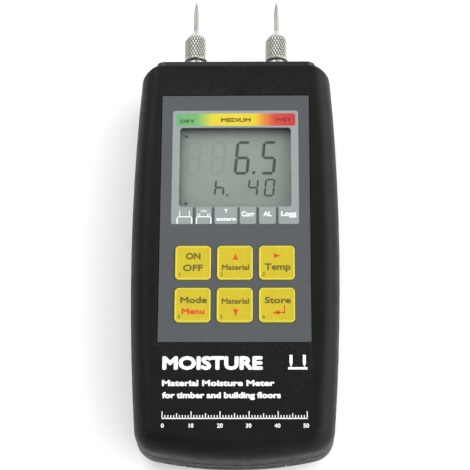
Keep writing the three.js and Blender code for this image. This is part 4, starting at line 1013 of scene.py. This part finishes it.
# ------------------------------------------------------------------ case pieces with eased edges
refined("front_shell", "shell_front", bevel=0.2, angle=32)
refined("rear_shell", "shell_rear", bevel=0.2, angle=32)
refined("top_plate", "plate_top", bevel=0.25, angle=40, segments=3)
refined("battery_cover", "cover_battery", bevel=0.1, angle=38, merge_flats=False)
refined("stand_clip", "clip_stand", bevel=0.3, angle=38, segments=3)
refined("interface_jack", "socket_interface", bevel=0.15, angle=38, segments=3)
refined("probe_socket", "socket_probe", bevel=0.15, angle=38, segments=3)
refined("display_frame", "frame_display", bevel=0.1)
refined("keypad_overlay", "overlay_keypad", bevel=0.05, angle=40)
for screw in range(1, 5):
    refined(f"case_screw_{screw}", f"screw_case_{screw}", bevel=0.12, angle=38)
refined("clip_pin", "pin_clip", bevel=0.12, angle=38)
for inner in ("battery_9v", "controller_chip", "crystal", "buzzer", "capacitor_1", "capacitor_2",
              "battery_snap", "keypad_connector", "lcd_glass", "socket_bush_left",
              "socket_bush_right", "socket_nut_left", "socket_nut_right"):
    refined(inner, inner + "_eased", bevel=0.12, angle=38)


# ------------------------------------------------------------------ foam in front of the battery
FOAM_SAG = 0.06         # how far the edges draw in, as a share of the half size
FOAM_CUTS = 9


def foam_pad():
    """A crowned foam block between the battery and the deck on its display side."""
    low, high = edges_mm("battery_pad")
    centre = [(a + b) / 2 for a, b in zip(low, high)]
    half = [(b - a) / 2 for a, b in zip(low, high)]
    bm = bmesh.new()
    bmesh.ops.create_cube(bm, size=2)
    bmesh.ops.subdivide_edges(bm, edges=bm.edges[:], cuts=FOAM_CUTS, use_grid_fill=True)
    for vert in bm.verts:
        place = []
        for axis in range(3):
            across = [vert.co[i] for i in range(3) if i != axis]
            sag = FOAM_SAG * (across[0] ** 4 + across[1] ** 4) / 2
            out = vert.co[axis]
            place.append(centre[axis] + half[axis] * out * (1 - sag * abs(out)))
        vert.co = Vector(place) * MM
    body = body_of_node("battery_pad")
    pad = new_object("foam_pad", bm, MATERIALS["foam"], body, 60)
    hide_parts("battery_pad")


foam_pad()


# ------------------------------------------------------------------ stage and light
FLOOR_GLOW = 0.2        # lifts the pale ground toward the photo's white
LIGHT_TARGET = Vector((0, 0, 0.02))


def floor_material():
    g = Graph("paper")
    darker, paler = (0.875, 0.875, 0.875), (0.9, 0.9, 0.9)
    g.feed("Base Color", g.ramp(g.noise(3, 3), [(0.3, darker), (0.7, paler)]))
    g.feed("Roughness", g.spread(g.noise(30, 3), 0.75, 0.9))
    g.set(Specular_IOR_Level=0.2, Emission_Color=(1, 1, 1, 1), Emission_Strength=FLOOR_GLOW)
    return g.material


def add_stage():
    bm = bmesh.new()
    bmesh.ops.create_grid(bm, x_segments=8, y_segments=8, size=3.0)
    mesh = bpy.data.meshes.new("floor")
    bm.to_mesh(mesh)
    bm.free()
    mesh.materials.append(floor_material())
    floor = bpy.data.objects.new("floor", mesh)
    bpy.context.scene.collection.objects.link(floor)


def area_light(name, place, size, power):
    """A square lamp turned toward the meter; place and size in metres, power in watts."""
    data = bpy.data.lights.new(name, "AREA")
    data.energy = power
    data.shape = "RECTANGLE"
    data.size = data.size_y = size
    light = bpy.data.objects.new(name, data)
    light.location = place
    direction = LIGHT_TARGET - Vector(place)
    light.rotation_euler = direction.to_track_quat("-Z", "Y").to_euler()
    bpy.context.scene.collection.objects.link(light)


def add_light():
    """A sky that is brighter low down and much brighter from the right, and two lamps."""
    world = bpy.data.worlds.new("studio")
    bpy.context.scene.world = world
    world.use_nodes = True
    nodes, links = world.node_tree.nodes, world.node_tree.links
    coords = nodes.new("ShaderNodeTexCoord")
    split = nodes.new("ShaderNodeSeparateXYZ")
    links.new(coords.outputs["Generated"], split.inputs["Vector"])
    ramp = nodes.new("ShaderNodeValToRGB")
    ramp.color_ramp.elements[0].position = 0.05
    ramp.color_ramp.elements[0].color = (1.0, 1.0, 1.0, 1)
    ramp.color_ramp.elements[1].position = 0.75
    ramp.color_ramp.elements[1].color = (0.42, 0.43, 0.44, 1)
    links.new(split.outputs["Z"], ramp.inputs["Fac"])
    sideways = nodes.new("ShaderNodeMapRange")
    limits = {"From Min": 0.0, "From Max": 0.85, "To Min": 1.0, "To Max": 4.0}
    for key, number in limits.items():
        sideways.inputs[key].default_value = number
    links.new(split.outputs["X"], sideways.inputs["Value"])
    background = nodes["Background"]
    links.new(ramp.outputs["Color"], background.inputs["Color"])
    links.new(sideways.outputs["Result"], background.inputs["Strength"])
    area_light("key", (-0.55, 0.62, 0.9), 0.8, 6.0)
    area_light("side", (0.85, 0.1, 0.62), 0.9, 3.0)


add_stage()
add_light()
bpy.context.scene.view_settings.view_transform = "Standard"
